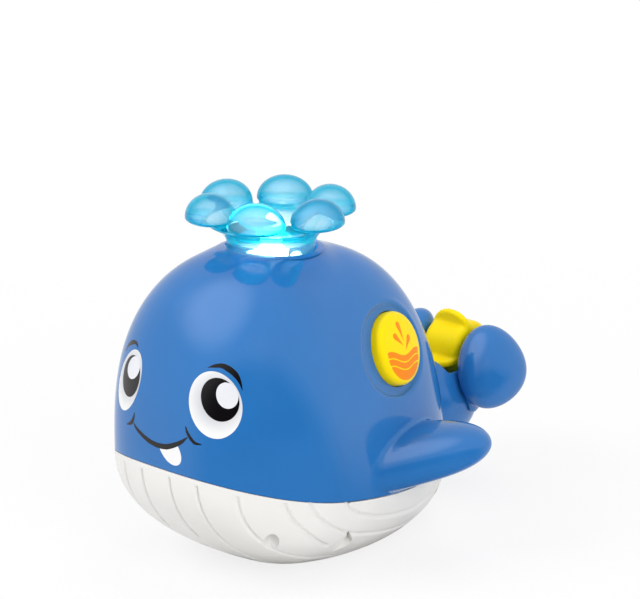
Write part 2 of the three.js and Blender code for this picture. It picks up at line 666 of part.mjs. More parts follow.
// Belly shell: pleated bowl with the door opening and its ledge, screw columns, pump posts and the intake
function bellyShell() {
  const outside = bellySolid(0);
  const bowl = cut(outside, bellySolid(WALL, WALL));
  const within = bellySolid(CLEARANCE);

  const ledgeBand = cut(slab(doorShape(LEDGE_OVERLAP), -FAR, 0), slab(bayShape(0), -FAR, 1));
  const ledge = common(ledgeBand, cut(bellySolid(WALL - CLEARANCE), bellySolid(ledgeBack, WALL)));
  const columns = SHELL_SCREWS.map(({ side, x, y }) =>
    rod(COLUMN_RADIUS, -BELLY_DEPTH, seamHeight(y), 8).translate(side * x, y, 0),
  );
  const posts = PUMP_POSTS.map((at) =>
    rod(PUMP_POST_RADIUS, -BELLY_DEPTH, postTop, 8).translate(at.x, PUMP_Y + at.y, 0),
  );
  const doorBosses = doorScrews.map((y) =>
    rod(screwBore + DOOR_BOSS_WALL, -BELLY_DEPTH, doorBossTop(y), 8).translate(0, y, 0),
  );
  const intakeBoss = aimed(rod(INTAKE_BOSS_RADIUS, 0, INTAKE_BOSS_LENGTH, 8), intakeEnd, INTAKE_AXIS);
  const fittings = common(fuse(...columns, ...posts, ...doorBosses, intakeBoss), within);

  const doorCut = cut(slab(doorShape(0), -FAR, 0), bellySolid(ledgeFace, WALL));
  const bayCut = slab(bayShape(0), -FAR, 0);
  const rimCut = seamPlug(-WALL, -SEAM_GAP, FAR / 4);
  const gasketCut = cut(
    seamPlug(GASKET_LEDGE, -GASKET_STEP, WALL),
    seamPlug(WALL + CLEARANCE / 2, -2 * GASKET_STEP, 2 * WALL),
  );
  const recesses = SHELL_SCREWS.map(({ side, x, y, seat }) =>
    rod(SCREW_RECESS_RADIUS, -FAR, seat, 10).translate(side * x, y, 0),
  );
  const columnBores = SHELL_SCREWS.map(({ side, x, y }) =>
    rod(screwBore, -FAR, FAR, 6).translate(side * x, y, 0),
  );
  const postBores = PUMP_POSTS.map((at) =>
    rod(screwBore, postTop - PUMP_SCREW_BITE - 1, FAR, 6).translate(at.x, PUMP_Y + at.y, 0),
  );
  const doorBores = doorScrews.map((y) =>
    rod(screwBore, -FAR, doorBossTop(y) - 1, 6).translate(0, y, 0),
  );
  const joined = fuse(bowl, ledge, fittings);
  const opened = cut(joined, doorCut, bayCut, rimCut, gasketCut, ...recesses, ...columnBores, ...postBores);
  return cut(opened, ...doorBores, ...intakeCuts());
}

// The intake: a ramped recess that deepens towards the tail, a slot in its floor and a bore to the hose
function intakeCuts() {
  const ramp = Math.atan2(INTAKE_DEPTH, INTAKE_LENGTH);
  const recess = new THREE.BoxGeometry(INTAKE_LENGTH, INTAKE_HEIGHT, 2 * INTAKE_DEPTH)
    .translate(0, 0, INTAKE_DEPTH)
    .rotateY(ramp)
    .translate(0, 0, -INTAKE_DEPTH / 2);
  const slot = block(0, 0, -INTAKE_DEPTH, INTAKE_SLOT_LENGTH, 2 * PORT_BORE, 2 * INTAKE_DEPTH);
  const bore = rod(PORT_BORE, -INTAKE_BOSS_LENGTH - 1, 0, 6);
  const back = new THREE.Vector3(0, 1, 0);
  const across = back.clone().addScaledVector(INTAKE_AXIS, -back.dot(INTAKE_AXIS)).normalize();
  const basis = new THREE.Matrix4().makeBasis(across, INTAKE_AXIS.clone().cross(across), INTAKE_AXIS);
  basis.setPosition(INTAKE_POINT);
  return [recess, slot, bore].map((tool) => tool.applyMatrix4(basis));
}

piece(toy, "upper_shell", upperShell(), plastic(BLUE));
piece(toy, "belly_shell", bellyShell(), plastic(OFF_WHITE));
const gasketInset = GASKET_LEDGE + CLEARANCE / 2;
const shellGasket = cut(
  seamPlug(gasketInset, CLEARANCE / 2 - GASKET_STEP, -CLEARANCE),
  seamPlug(WALL, -2 * GASKET_STEP, GASKET_STEP),
);
piece(toy, "shell_gasket", shellGasket, plastic(RUBBER, 0.8));
SHELL_SCREWS.forEach(({ side, x, y, seat }, turn) => {
  const length = seamHeight(y) + SHELL_SCREW_BITE - seat;
  const form = screw(SCREW_HEAD_RADIUS, SCREW_HEAD, SCREW_RADIUS, length).rotateX(Math.PI);
  piece(toy, `shell_screw_${turn + 1}`, form.translate(side * x, y, seat - CLEARANCE), metal(STEEL));
});

// Battery door: the flat-bottomed middle of the belly, with countersunk places for its two screws
function batteryDoor() {
  const band = cut(bellySolid(0), bellySolid(WALL, WALL));
  const door = common(band, slab(doorShape(-DOOR_GAP), -FAR, 0));
  const recesses = doorScrews.map((y) => rod(SCREW_RECESS_RADIUS, -FAR, doorSeat(y), 10).translate(0, y, 0));
  const bores = doorScrews.map((y) => rod(screwBore, -FAR, 0, 6).translate(0, y, 0));
  return cut(door, ...recesses, ...bores);
}

// Height of the belly's outside at a place on the middle line.
function keelHeight(y) {
  const reach = y < 0 ? NOSE_REACH : REAR_REACH;
  const shrink = Math.abs(y) / reach;
  const level = (1 - shrink ** BELLY_ROUND) ** (1 / BELLY_SWELL);
  return Math.max(BASE_HEIGHT, seamHeight(Math.sign(y) * reach) * shrink - BELLY_DEPTH * level);
}

function doorSeat(y) {
  return keelHeight(y) + DOOR_SCREW_SEAT;
}

function doorBossTop(y) {
  return keelHeight(y) + ledgeBack + DOOR_SCREW_BITE;
}

piece(toy, "battery_door", batteryDoor(), plastic(OFF_WHITE));
const doorGasketBand = cut(
  slab(bayShape(CLEARANCE + DOOR_GASKET_WIDTH), -FAR, 0),
  slab(bayShape(CLEARANCE), -FAR, 1),
);
const doorGasket = common(
  doorGasketBand,
  cut(bellySolid(WALL + CLEARANCE), bellySolid(WALL + CLEARANCE + DOOR_GASKET_THICKNESS, WALL)),
);
piece(toy, "battery_door_gasket", doorGasket, plastic(RUBBER, 0.8));
doorScrews.forEach((y, turn) => {
  const length = doorBossTop(y) - doorSeat(y) - 2;
  const form = screw(SCREW_HEAD_RADIUS, DOOR_SCREW_HEAD, SCREW_RADIUS, length).rotateX(Math.PI);
  piece(toy, `battery_door_screw_${turn + 1}`, form.translate(0, y, doorSeat(y) - CLEARANCE), metal(STEEL));
});

// Battery box: a roofed frame that stands on the door ledge and carries the circuit board on four posts
const boardLow = BOX_ROOF + BOARD_POST_HEIGHT + CLEARANCE;
const boardPosts = [-1, 1].flatMap((sideX) =>
  [-1, 1].map((sideY) => {
    const x = sideX * (BOARD_SIZE.x / 2 - BOARD_POST_INSET);
    return new THREE.Vector2(x, BOARD_Y + sideY * (BOARD_SIZE.y / 2 - BOARD_POST_INSET));
  }),
);

function batteryBox() {
  const room = slab(bayShape(0), -FAR - 1, BOX_ROOF - BOX_WALL);
  const shell = cut(slab(bayShape(BOX_WALL), -FAR, BOX_ROOF), room);
  const walls = common(shell, bellySolid(ledgeBack + CLEARANCE, FAR / 4));
  const posts = boardPosts.map((at) => rod(BOARD_POST_RADIUS, BOX_ROOF - 1, BOX_ROOF + BOARD_POST_HEIGHT, 6)
    .translate(at.x, at.y, 0));
  const pinTop = boardLow + BOARD_PIN_HEIGHT;
  const pins = boardPosts.map((at) => rod(BOARD_PIN_RADIUS, BOX_ROOF, pinTop, 6).translate(at.x, at.y, 0));
  return fuse(walls, ...posts, ...pins);
}

piece(toy, "battery_box", batteryBox(), plastic(GREY, 0.5));

const middleCell = (CELL_COUNT - 1) / 2;
const cellPlaces = Array.from({ length: CELL_COUNT }, (_, turn) => (turn - middleCell) * CELL_PITCH);
const bayMiddle = (BAY_FRONT + BAY_REAR) / 2;
const cellSpan = CELL_LENGTH + CELL_NUB;
cellPlaces.forEach((x, turn) => {
  const half = cellSpan / 2;
  const neck = half - CELL_NUB;
  const profile = [[0, -half], [CELL_RADIUS, -half], [CELL_RADIUS, neck], [CELL_NUB_RADIUS, neck]];
  const cell = turned([...profile, [CELL_NUB_RADIUS, half], [0, half]], 12);
  const facing = turn % 2 === 0 ? -1 : 1;
  cell.rotateX((facing * Math.PI) / 2).translate(x, bayMiddle, CELL_AXIS_HEIGHT);
  piece(toy, `battery_${turn + 1}`, cell, metal(COPPER, 0.4));
});

function contactPlate(places, end) {
  const wall = end < 0 ? BAY_FRONT + CLEARANCE : BAY_REAR - CLEARANCE;
  const middle = (places[0] + places[places.length - 1]) / 2;
  const width = CONTACT_SINGLE_WIDTH + places[places.length - 1] - places[0];
  const inner = wall - end * CONTACT_THICKNESS;
  const buried = CONTACT_THICKNESS / 2;
  const reach = Math.abs(bayMiddle + end * (cellSpan / 2) - inner) - CLEARANCE;
  const plate = block(middle, (wall + inner) / 2, CELL_AXIS_HEIGHT, width, CONTACT_THICKNESS, CONTACT_HEIGHT);
  const bumps = places.map((x) =>
    aimed(
      turned([[0, -buried], [CELL_NUB_RADIUS, -buried], [1, reach], [0, reach]], 10),
      new THREE.Vector3(x, inner, CELL_AXIS_HEIGHT),
      new THREE.Vector3(0, -end, 0),
    ),
  );
  return fuse(plate, ...bumps);
}

piece(toy, "contact_front_pair", contactPlate(cellPlaces.slice(0, 2), -1), metal(STEEL));
piece(toy, "contact_front_single", contactPlate(cellPlaces.slice(2), -1), metal(STEEL));
piece(toy, "contact_rear_single", contactPlate(cellPlaces.slice(0, 1), 1), metal(STEEL));
piece(toy, "contact_rear_pair", contactPlate(cellPlaces.slice(1), 1), metal(STEEL));

function circuitBoard() {
  const middle = boardLow + BOARD_SIZE.z / 2;
  const top = boardLow + BOARD_SIZE.z;
  const board = block(0, BOARD_Y, middle, BOARD_SIZE.x, BOARD_SIZE.y, BOARD_SIZE.z);
  const sunk = CLEARANCE / 2;
  const onBoard = (size, x, y) => block(x, BOARD_Y + y, top - sunk + size.z / 2, size.x, size.y, size.z);
  const chip = onBoard(CHIP_SIZE, -CHIP_SIZE.x / 2, 0);
  const capacitor = rod(CAPACITOR_RADIUS, top - sunk, top + CAPACITOR_HEIGHT, 12)
    .translate(3 * CAPACITOR_RADIUS, BOARD_Y - CAPACITOR_RADIUS, 0);
  const socket = onBoard(SOCKET_SIZE, 0, BOARD_SIZE.y / 2 - SOCKET_SIZE.y);
  const hole = BOARD_PIN_RADIUS + CLEARANCE;
  const holes = boardPosts.map((at) => rod(hole, -FAR, FAR, 6).translate(at.x, at.y, 0));
  return cut(fuse(board, chip, capacitor, socket), ...holes);
}

piece(toy, "circuit_board", circuitBoard(), plastic(GREEN_BOARD, 0.5));

// Button group: the axis is local Z, with 0 at the hull's surface and + outwards
function buttonCap() {
  const inner = BUTTON_RADIUS - BUTTON_WALL;
  const flangeBottom = flangeTop - BUTTON_FLANGE;
  const face = new THREE.Path();
  face.moveTo(0, buttonRim + BUTTON_CROWN);
  face.quadraticCurveTo(BUTTON_RADIUS / 2, buttonRim + BUTTON_CROWN, BUTTON_RADIUS - BUTTON_EDGE, buttonRim);
  face.quadraticCurveTo(BUTTON_RADIUS, buttonRim - BUTTON_EDGE / 4, BUTTON_RADIUS, buttonRim - BUTTON_EDGE);
  const profile = face.getPoints(3).map((point) => [point.x, point.y]);
  profile.push([BUTTON_RADIUS, flangeTop], [BUTTON_FLANGE_RADIUS, flangeTop]);
  profile.push([BUTTON_FLANGE_RADIUS, flangeBottom], [inner, flangeBottom], [inner, buttonRoof]);
  profile.push([BUTTON_STEM_RADIUS, buttonRoof], [BUTTON_STEM_RADIUS, stemEnd], [0, stemEnd]);
  return turned(profile, 20);
}

// A coil spring as one round wire that winds about Z.
function coil(radius, wire, low, high, turns) {
  const steps = turns * 7;
  const sides = 4;
  const rise = (high - low) / steps;
  const rings = Array.from({ length: steps + 1 }, (_, step) => {
    const angle = (step / 7) * 2 * Math.PI;
    const out = new THREE.Vector3(Math.cos(angle), Math.sin(angle), 0);
    const centre = out.clone().multiplyScalar(radius).setZ(low + step * rise);
    return Array.from({ length: sides }, (__, side) => {
      const turn = (side / sides) * 2 * Math.PI;
      const lift = new THREE.Vector3(0, 0, wire * Math.sin(turn));
      return centre.clone().addScaledVector(out, wire * Math.cos(turn)).add(lift);
    });
  });
  const total = (points) => points.reduce((sum, next) => sum.add(next), new THREE.Vector3());
  return skin(rings, total(rings[0]).divideScalar(sides), total(rings[steps]).divideScalar(sides));
}

function buttonRetainer() {
  const lipInner = guideRadius + CLEARANCE;
  const lipOuter = lipInner + RETAINER_WALL;
  const low = retainerTop - RETAINER_THICKNESS;
  const profile = [[RETAINER_HOLE, low], [lipOuter, low], [lipOuter, retainerTop + RETAINER_LIP]];
  profile.push([lipInner, retainerTop + RETAINER_LIP], [lipInner, retainerTop], [RETAINER_HOLE, retainerTop]);
  return turned([...profile, [RETAINER_HOLE, low]], 20);
}

function microSwitch() {
  const top = retainerTop - RETAINER_THICKNESS - CLEARANCE;
  const body = block(0, 0, top - SWITCH_SIZE.z / 2, SWITCH_SIZE.x, SWITCH_SIZE.y, SWITCH_SIZE.z);
  return fuse(body, rod(SWITCH_NUB_RADIUS, top - 1, guideEnd - CLEARANCE, 8));
}

piece(buttonGroup, "button_cap", buttonCap(), plastic(YELLOW));
const springLow = sealTop + CLEARANCE + SPRING_WIRE;
const springHigh = buttonRoof - CLEARANCE - SPRING_WIRE;
const springForm = coil(SPRING_RADIUS, SPRING_WIRE, springLow, springHigh, SPRING_TURNS);
piece(buttonGroup, "button_spring", springForm, metal(STEEL));
piece(buttonGroup, "button_seal", rod(guideBore - CLEARANCE, guideEnd, sealTop, 20), plastic(RUBBER, 0.8));
piece(buttonGroup, "button_retainer", buttonRetainer(), plastic(GREY, 0.5));
piece(buttonGroup, "micro_switch", microSwitch(), plastic(RUBBER, 0.5));

// Spout group: local Z is the spout's axis
function spout() {
  const neckBore = NECK_RADIUS - NECK_WALL;
  const flange = FLANGE_BOTTOM + FLANGE_THICKNESS;
  const flare = new THREE.Path();
  flare.moveTo(NECK_RADIUS, NECK_TOP);
  const startX = NECK_RADIUS + FLARE_START_REACH;
  const endX = FLARE_RADIUS - FLARE_END_REACH;
  const startZ = NECK_TOP + FLARE_START_LIFT;
  flare.bezierCurveTo(startX, startZ, endX, FLARE_TOP - FLARE_END_DROP, FLARE_RADIUS, FLARE_TOP);
  const cup = new THREE.Path();
  cup.moveTo(CUP_RADIUS, CUP_RIM);
  cup.quadraticCurveTo(CUP_FLOOR_RADIUS + 1, CUP_FLOOR + 3, CUP_FLOOR_RADIUS, CUP_FLOOR);
  const onPath = (path, count) => path.getPoints(count).map((point) => [point.x, point.y]);
  const hole = NOZZLE_RADIUS + CLEARANCE;
  const profile = [[neckBore, FLANGE_BOTTOM], [FLANGE_RADIUS, FLANGE_BOTTOM], [FLANGE_RADIUS, flange]];
  profile.push([NECK_RADIUS, flange], ...onPath(flare, 4), ...onPath(cup, 3), [hole, CUP_FLOOR]);
  const underFloor = CUP_FLOOR - CUP_FLOOR_WALL;
  profile.push([hole, underFloor], [neckBore, underFloor], [neckBore, FLANGE_BOTTOM]);
  return fuse(turned(profile, 22), ...Array.from({ length: LOBE_COUNT }, (_, turn) => lobe(turn)));
}

// One lobe, domed above and flatter below.
function lobe(turn) {
  const drop = new THREE.SphereGeometry(1, 12, 6).rotateX(Math.PI / 2);
  const position = drop.getAttribute("position");
  for (let i = 0; i < position.count; i += 1) {
    const z = position.getZ(i);
    position.setZ(i, z * (z > 0 ? LOBE_RISE : LOBE_DROP));
  }
  const angle = ((turn + 0.5) / LOBE_COUNT) * 2 * Math.PI - Math.PI / 2;
  return drop.scale(LOBE_RADIAL, LOBE_TANGENTIAL, 1).translate(LOBE_RING, 0, LOBE_HEIGHT).rotateZ(angle);
}

function nozzle() {
  const flangeHigh = FLANGE_BOTTOM + LAMP_BOARD_THICKNESS;
  const barbLow = carrierBottom - NOZZLE_BARB_LENGTH;
  const foot = NOZZLE_RADIUS + 1;
  const profile = [[NOZZLE_BORE, barbLow], [NOZZLE_BARB_RADIUS, barbLow]];
  profile.push([NOZZLE_BARB_RADIUS, FLANGE_BOTTOM], [foot, FLANGE_BOTTOM]);
  profile.push([foot, flangeHigh], [NOZZLE_RADIUS, flangeHigh]);
  profile.push([NOZZLE_RADIUS, NOZZLE_TOP], [NOZZLE_BORE, NOZZLE_TOP], [NOZZLE_BORE, barbLow]);
  const ribTop = CUP_FLOOR - CUP_FLOOR_WALL - CLEARANCE;
  const ribLow = ribTop - LAMP_LENGTH;
  const ribLength = NOZZLE_RIB_REACH - NOZZLE_RADIUS + 1;
  const ribs = Array.from({ length: NOZZLE_RIBS }, (_, turn) =>
    block(NOZZLE_RIB_REACH - ribLength / 2, 0, (ribTop + ribLow) / 2, ribLength, 1, ribTop - ribLow)
      .rotateZ((turn / NOZZLE_RIBS) * 2 * Math.PI),
  );
  return fuse(turned(profile, 12), ...ribs);
}

function lampCarrier() {
  const plate = ring(NOZZLE_BARB_RADIUS + CLEARANCE, CARRIER_RADIUS, carrierBottom, carrierTop, 20);
  const bores = carrierScrews.map((at) => rod(screwBore, -FAR, FAR, 8).translate(at.x, at.y, 0));
  return cut(plate, ...bores);
}

piece(spoutGroup, "spout", spout(), plastic(AQUA, 0.1));
const spoutSealLow = FLANGE_BOTTOM + FLANGE_THICKNESS + CLEARANCE;
const spoutSealHigh = spoutSealLow + SPOUT_SEAL_THICKNESS;
const spoutSeal = ring(NECK_RADIUS + CLEARANCE, FLANGE_RADIUS, spoutSealLow, spoutSealHigh, 22);
piece(spoutGroup, "spout_seal", spoutSeal, plastic(RUBBER, 0.8));
piece(spoutGroup, "spout_nozzle", nozzle(), plastic(OFF_WHITE));
piece(spoutGroup, "lamp_carrier", lampCarrier(), plastic(GREY, 0.5));
const lampBoardTop = FLANGE_BOTTOM + LAMP_BOARD_THICKNESS;
const lampBoardHole = NOZZLE_RADIUS + 1 + CLEARANCE;
const lampBoardRadius = NECK_RADIUS - NECK_WALL - 2 * CLEARANCE;
const lampBoard = ring(lampBoardHole, lampBoardRadius, FLANGE_BOTTOM, lampBoardTop, 16);
piece(spoutGroup, "lamp_board", lampBoard, plastic(GREEN_BOARD, 0.5));
carrierScrews.forEach((at, turn) => {
  const form = screw(CARRIER_SCREW_RADIUS, CARRIER_SCREW_HEAD, SCREW_RADIUS, CARRIER_SCREW_LENGTH);
  form.rotateX(Math.PI).translate(at.x, at.y, carrierBottom - CLEARANCE);
  piece(spoutGroup, `carrier_screw_${turn + 1}`, form, metal(STEEL));
});
for (let turn = 0; turn < LAMP_COUNT; turn += 1) {
  const angle = ((turn + 0.5) / LAMP_COUNT) * 2 * Math.PI;
  const low = lampBoardTop + CLEARANCE;
  const shoulder = low + LAMP_LENGTH - LAMP_RADIUS;
  const dome = new THREE.Path().absarc(0, shoulder, LAMP_RADIUS, 0, Math.PI / 2, false);
  const profile = [[0, low], [LAMP_RADIUS + 0.4, low], [LAMP_RADIUS + 0.4, low + 1], [LAMP_RADIUS, low + 1]];
  const crown = dome.getPoints(2).map((point) => [Math.max(0, point.x), point.y]);
  crown[crown.length - 1][0] = 0;
  const lamp = turned([...profile, ...crown], 8);
  const place = new THREE.Vector2(Math.cos(angle), Math.sin(angle)).multiplyScalar(LAMP_RING);
  piece(spoutGroup, `lamp_${turn + 1}`, lamp.translate(place.x, place.y, 0), plastic(WARM_WHITE, 0.1));
}

// Pump group: local Z is the pump's axis
function ear(at, low, high) {
  const reach = at.length();
  const arm = block(reach / 2, 0, (low + high) / 2, reach, 1.8 * EAR_RADIUS, high - low).rotateZ(at.angle());
  return fuse(arm, rod(EAR_RADIUS, low, high, 8).translate(at.x, at.y, 0));
}

function earBores() {
  return PUMP_POSTS.map((at) => rod(screwBore, -FAR, FAR, 8).translate(at.x, at.y, 0));
}

// A port is a tube along X that starts inside the pump wall and ends at the hose.
function port(direction, y, z, radius, start, end) {
  return aimed(rod(radius, start, end, 10), new THREE.Vector3(0, y, z), new THREE.Vector3(direction, 0, 0));
}

function pumpHousing() {
  const body = rod(PUMP_RADIUS, PUMP_BOTTOM, PUMP_TOP, 14);
  const outlet = port(-1, OUTLET_OFFSET, outletHeight, PORT_RADIUS, PUMP_CHAMBER_RADIUS / 2, PORT_REACH);
  const ears = PUMP_POSTS.map((at) => ear(at, earBottom, earTop));
  const chamber = rod(PUMP_CHAMBER_RADIUS, PUMP_BOTTOM - 1, PUMP_TOP - PUMP_TOP_WALL, 14);
  const bore = port(-1, OUTLET_OFFSET, outletHeight, PORT_BORE, PUMP_CHAMBER_RADIUS / 2, PORT_REACH + 1);
  const shaftHole = rod(SHAFT_RADIUS + CLEARANCE, PUMP_BOTTOM, PUMP_TOP + 1, 10);
  return cut(fuse(body, outlet, ...ears), chamber, bore, shaftHole, ...earBores());
}

function pumpCover() {
  const top = PUMP_BOTTOM - CLEARANCE;
  const body = rod(PUMP_RADIUS, coverBottom, top, 14);
  const inlet = port(1, 0, inletHeight, PORT_RADIUS, PUMP_RADIUS / 2, PORT_REACH);
  const eye = rod(PORT_RADIUS, inletHeight, top + 1, 12);
  const bore = port(1, 0, inletHeight, PORT_BORE, 0, PORT_REACH + 1);
  return cut(fuse(body, inlet), eye, bore);
}

function impeller() {
  const discHigh = PUMP_TOP - PUMP_TOP_WALL - 3 * CLEARANCE;
  const discLow = discHigh - IMPELLER_DISC;
  const bladeLow = discLow - IMPELLER_BLADE_HEIGHT;
  const length = IMPELLER_RADIUS - IMPELLER_HUB_RADIUS;
  const blades = Array.from({ length: IMPELLER_BLADES }, (_, turn) =>
    block(length / 2, 0, (bladeLow + discHigh) / 2, length, 1.2, discHigh - bladeLow)
      .rotateZ(-0.5)
      .translate(IMPELLER_HUB_RADIUS - 0.5, 0, 0)
      .rotateZ((turn / IMPELLER_BLADES) * 2 * Math.PI),
  );
  const disc = rod(IMPELLER_RADIUS, discLow, discHigh, 16);
  const hub = rod(IMPELLER_HUB_RADIUS, bladeLow, discHigh, 8);
  const bore = rod(SHAFT_RADIUS + CLEARANCE / 2, bladeLow + 1, FAR, 8);
  return cut(fuse(disc, hub, ...blades), bore);
}

function motor() {
  const low = bracketBottom;
  const high = low + MOTOR_LENGTH;
  const can = common(
    rod(MOTOR_RADIUS, low, high, 16),
    block(0, 0, (low + high) / 2, 2 * MOTOR_FLAT, FAR, MOTOR_LENGTH + 1),
  );
  const boss = rod(3, high - 1, high + 1.6, 12);
  const tabs = [-1, 1].map((side) => block(0, side * 6, high + 1, 2.4, 0.6, 4));
  return cut(fuse(can, boss, ...tabs), rod(SHAFT_RADIUS + CLEARANCE, low - 1, SHAFT_TOP + 1, 10));
}

function motorBracket() {
  const inner = MOTOR_RADIUS + CLEARANCE;
  const sleeve = ring(inner, inner + BRACKET_WALL, bracketBottom, bracketBottom + BRACKET_HEIGHT, 16);
  const ears = PUMP_POSTS.map((at) => ear(at, bracketBottom, bracketTop));
  return cut(fuse(sleeve, ...ears), rod(inner, -FAR, FAR, 16), ...earBores());
}

piece(pumpGroup, "pump_housing", pumpHousing(), plastic(GREY, 0.4));
piece(pumpGroup, "pump_cover", pumpCover(), plastic(GREY, 0.4));
piece(pumpGroup, "impeller", impeller(), plastic(OFF_WHITE, 0.4));
const shaftLow = PUMP_TOP - PUMP_TOP_WALL - IMPELLER_DISC - IMPELLER_BLADE_HEIGHT + CLEARANCE * 2;
piece(pumpGroup, "motor_shaft", rod(SHAFT_RADIUS, shaftLow, SHAFT_TOP, 8), metal(STEEL));
piece(pumpGroup, "pump_motor", motor(), metal(STEEL));
piece(pumpGroup, "motor_bracket", motorBracket(), plastic(GREY, 0.5));
PUMP_POSTS.forEach((at, turn) => {
  const length = pumpScrewSeat - postTop + PUMP_SCREW_BITE;
  const form = screw(SCREW_HEAD_RADIUS, SCREW_HEAD, SCREW_RADIUS, length);
  piece(pumpGroup, `pump_screw_${turn + 1}`, form.translate(at.x, at.y, pumpScrewSeat), metal(STEEL));
});

// Hoses: the intake hose runs beside the battery box, the outlet hose rises to the nozzle
const hoseStart = intakeEnd.clone().addScaledVector(INTAKE_AXIS, -CLEARANCE);
const inletEnd = new THREE.Vector3(PORT_REACH + CLEARANCE, PUMP_Y, inletHeight);
const intakeHose = tubeAlong(
  [
    hoseStart,
    hoseStart.clone().addScaledVector(INTAKE_AXIS, -4),
    new THREE.Vector3(HOSE_LANE, bayMiddle + HOSE_RADIUS, INTAKE_HOSE_CREST),
    new THREE.Vector3(HOSE_LANE, BAY_REAR - 3 * HOSE_RADIUS, INTAKE_HOSE_RUN),
    new THREE.Vector3(HOSE_LANE, BAY_REAR + 2 * HOSE_RADIUS, INTAKE_HOSE_DIP),
    new THREE.Vector3(HOSE_LANE - HOSE_RADIUS, PUMP_Y - 2 * HOSE_RADIUS, inletHeight + 1),
    inletEnd.clone().setX(PORT_REACH + 5),
    inletEnd,
  ],
  HOSE_RADIUS,
  PORT_BORE,
  11,
);
piece(toy, "intake_hose", intakeHose, plastic(CLEAR_HOSE, 0.4));
const outletStart = new THREE.Vector3(-PORT_REACH - CLEARANCE, PUMP_Y + OUTLET_OFFSET, outletHeight);
const nozzleEnd = new THREE.Vector3(0, SPOUT_Y, carrierBottom - NOZZLE_BARB_LENGTH - CLEARANCE);
const outletHose = tubeAlong(
  [
    outletStart,
    outletStart.clone().setX(-PORT_REACH - 4),
    new THREE.Vector3(-OUTLET_HOSE_LANE, PUMP_Y - OUTLET_HOSE_BACK, outletHeight / 3),
    new THREE.Vector3(-OUTLET_HOSE_LANE, PUMP_Y - OUTLET_HOSE_BACK, nozzleEnd.z / 4),
    nozzleEnd.clone().lerp(new THREE.Vector3(-OUTLET_HOSE_LANE, PUMP_Y, 0), 0.55).setZ(nozzleEnd.z * 0.55),
    nozzleEnd.clone().lerp(new THREE.Vector3(-OUTLET_HOSE_LANE, PUMP_Y, 0), 0.2).setZ(nozzleEnd.z * 0.78),
    nozzleEnd.clone().setZ(nozzleEnd.z - 6),
    nozzleEnd,
  ],
  HOSE_RADIUS,
  PORT_BORE,
  12,
);
piece(toy, "outlet_hose", outletHose, plastic(CLEAR_HOSE, 0.4));

// Leads from the circuit board to the lamps, the switch and the motor
const boardTop = boardLow + BOARD_SIZE.z;
const switchEnd = new THREE.Vector3(0, 0, retainerTop - RETAINER_THICKNESS - SWITCH_SIZE.z - 3 * CLEARANCE)
  .applyMatrix4(buttonGroup.matrixWorld);
const motorTop = bracketBottom + MOTOR_LENGTH;
const leadLow = boardTop + 3 * CLEARANCE;
const leads = {
  lamp_lead: [
    new THREE.Vector3(LAMP_LEAD_X, BOARD_Y + 3, leadLow),
    new THREE.Vector3(LAMP_LEAD_X, BOARD_Y + 3, carrierBottom / 3),
    new THREE.Vector3(mix(LAMP_LEAD_X, LAMP_RING, 0.4), BOARD_Y + 6, carrierBottom * 0.7),
    new THREE.Vector3(LAMP_RING, SPOUT_Y + 3, carrierBottom * 0.9),
    new THREE.Vector3(LAMP_RING, SPOUT_Y + 3, carrierBottom - CLEARANCE),
  ],
  switch_lead: [
    new THREE.Vector3(SWITCH_LEAD_X, BOARD_Y + 9, leadLow),
    new THREE.Vector3(SWITCH_LEAD_X, BOARD_Y + 11, switchEnd.z * 0.3),
    switchEnd.clone().add(new THREE.Vector3(-7, -9, -10)),
    switchEnd.clone().add(new THREE.Vector3(-5, 0, -3)),
    switchEnd,
  ],
  motor_lead: [
    new THREE.Vector3(-MOTOR_LEAD_X, BOARD_Y + 6, leadLow),
    new THREE.Vector3(-MOTOR_LEAD_X, BOARD_Y + 12, motorTop / 2),
    new THREE.Vector3(-MOTOR_LEAD_X / 2, PUMP_Y - 23, motorTop + 7),
    new THREE.Vector3(0, PUMP_Y - 8, motorTop + 8),
    new THREE.Vector3(0, PUMP_Y - 6, motorTop + 3 + CLEARANCE),
  ],
};
for (const [name, points] of Object.entries(leads)) {
  piece(toy, name, tubeAlong(points, LEAD_RADIUS, 0, 10, 2), plastic(RUBBER, 0.6));
}

// Tail: a hollow stock bolted to the shell, two hollow flukes pegged to it, and the wheel between them
function ellipsoid(centre, half, grow, width = 16, height = 9) {
  return new THREE.SphereGeometry(1, width, height)
    .scale(half.x + grow, half.y + grow, half.z + grow)
    .translate(centre.x, centre.y, centre.z);
}

function wheelSlot(grow) {
  const half = WHEEL_HALF_WIDTH + WHEEL_END_GAP + grow;
  const slot = rod(WHEEL_RADIUS + WHEEL_RUN_GAP + grow, -half, half, 20).rotateY(Math.PI / 2);
  return fromGroup(wheelGroup, slot);
}

function alongTail(geometry, y) {
  return aimed(geometry, new THREE.Vector3(0, y, TAIL_BOSS_HEIGHT), new THREE.Vector3(0, 1, 0));
}

const neckAxis = FLUKE_NECK_TARGET.clone().sub(FLUKE_CENTRE).normalize();

function pegHole() {
  return aimed(rod(FLUKE_PEG_RADIUS + CLEARANCE, 0, FLUKE_PEG_DEPTH + 1, 12), FLUKE_CENTRE, neckAxis);
}

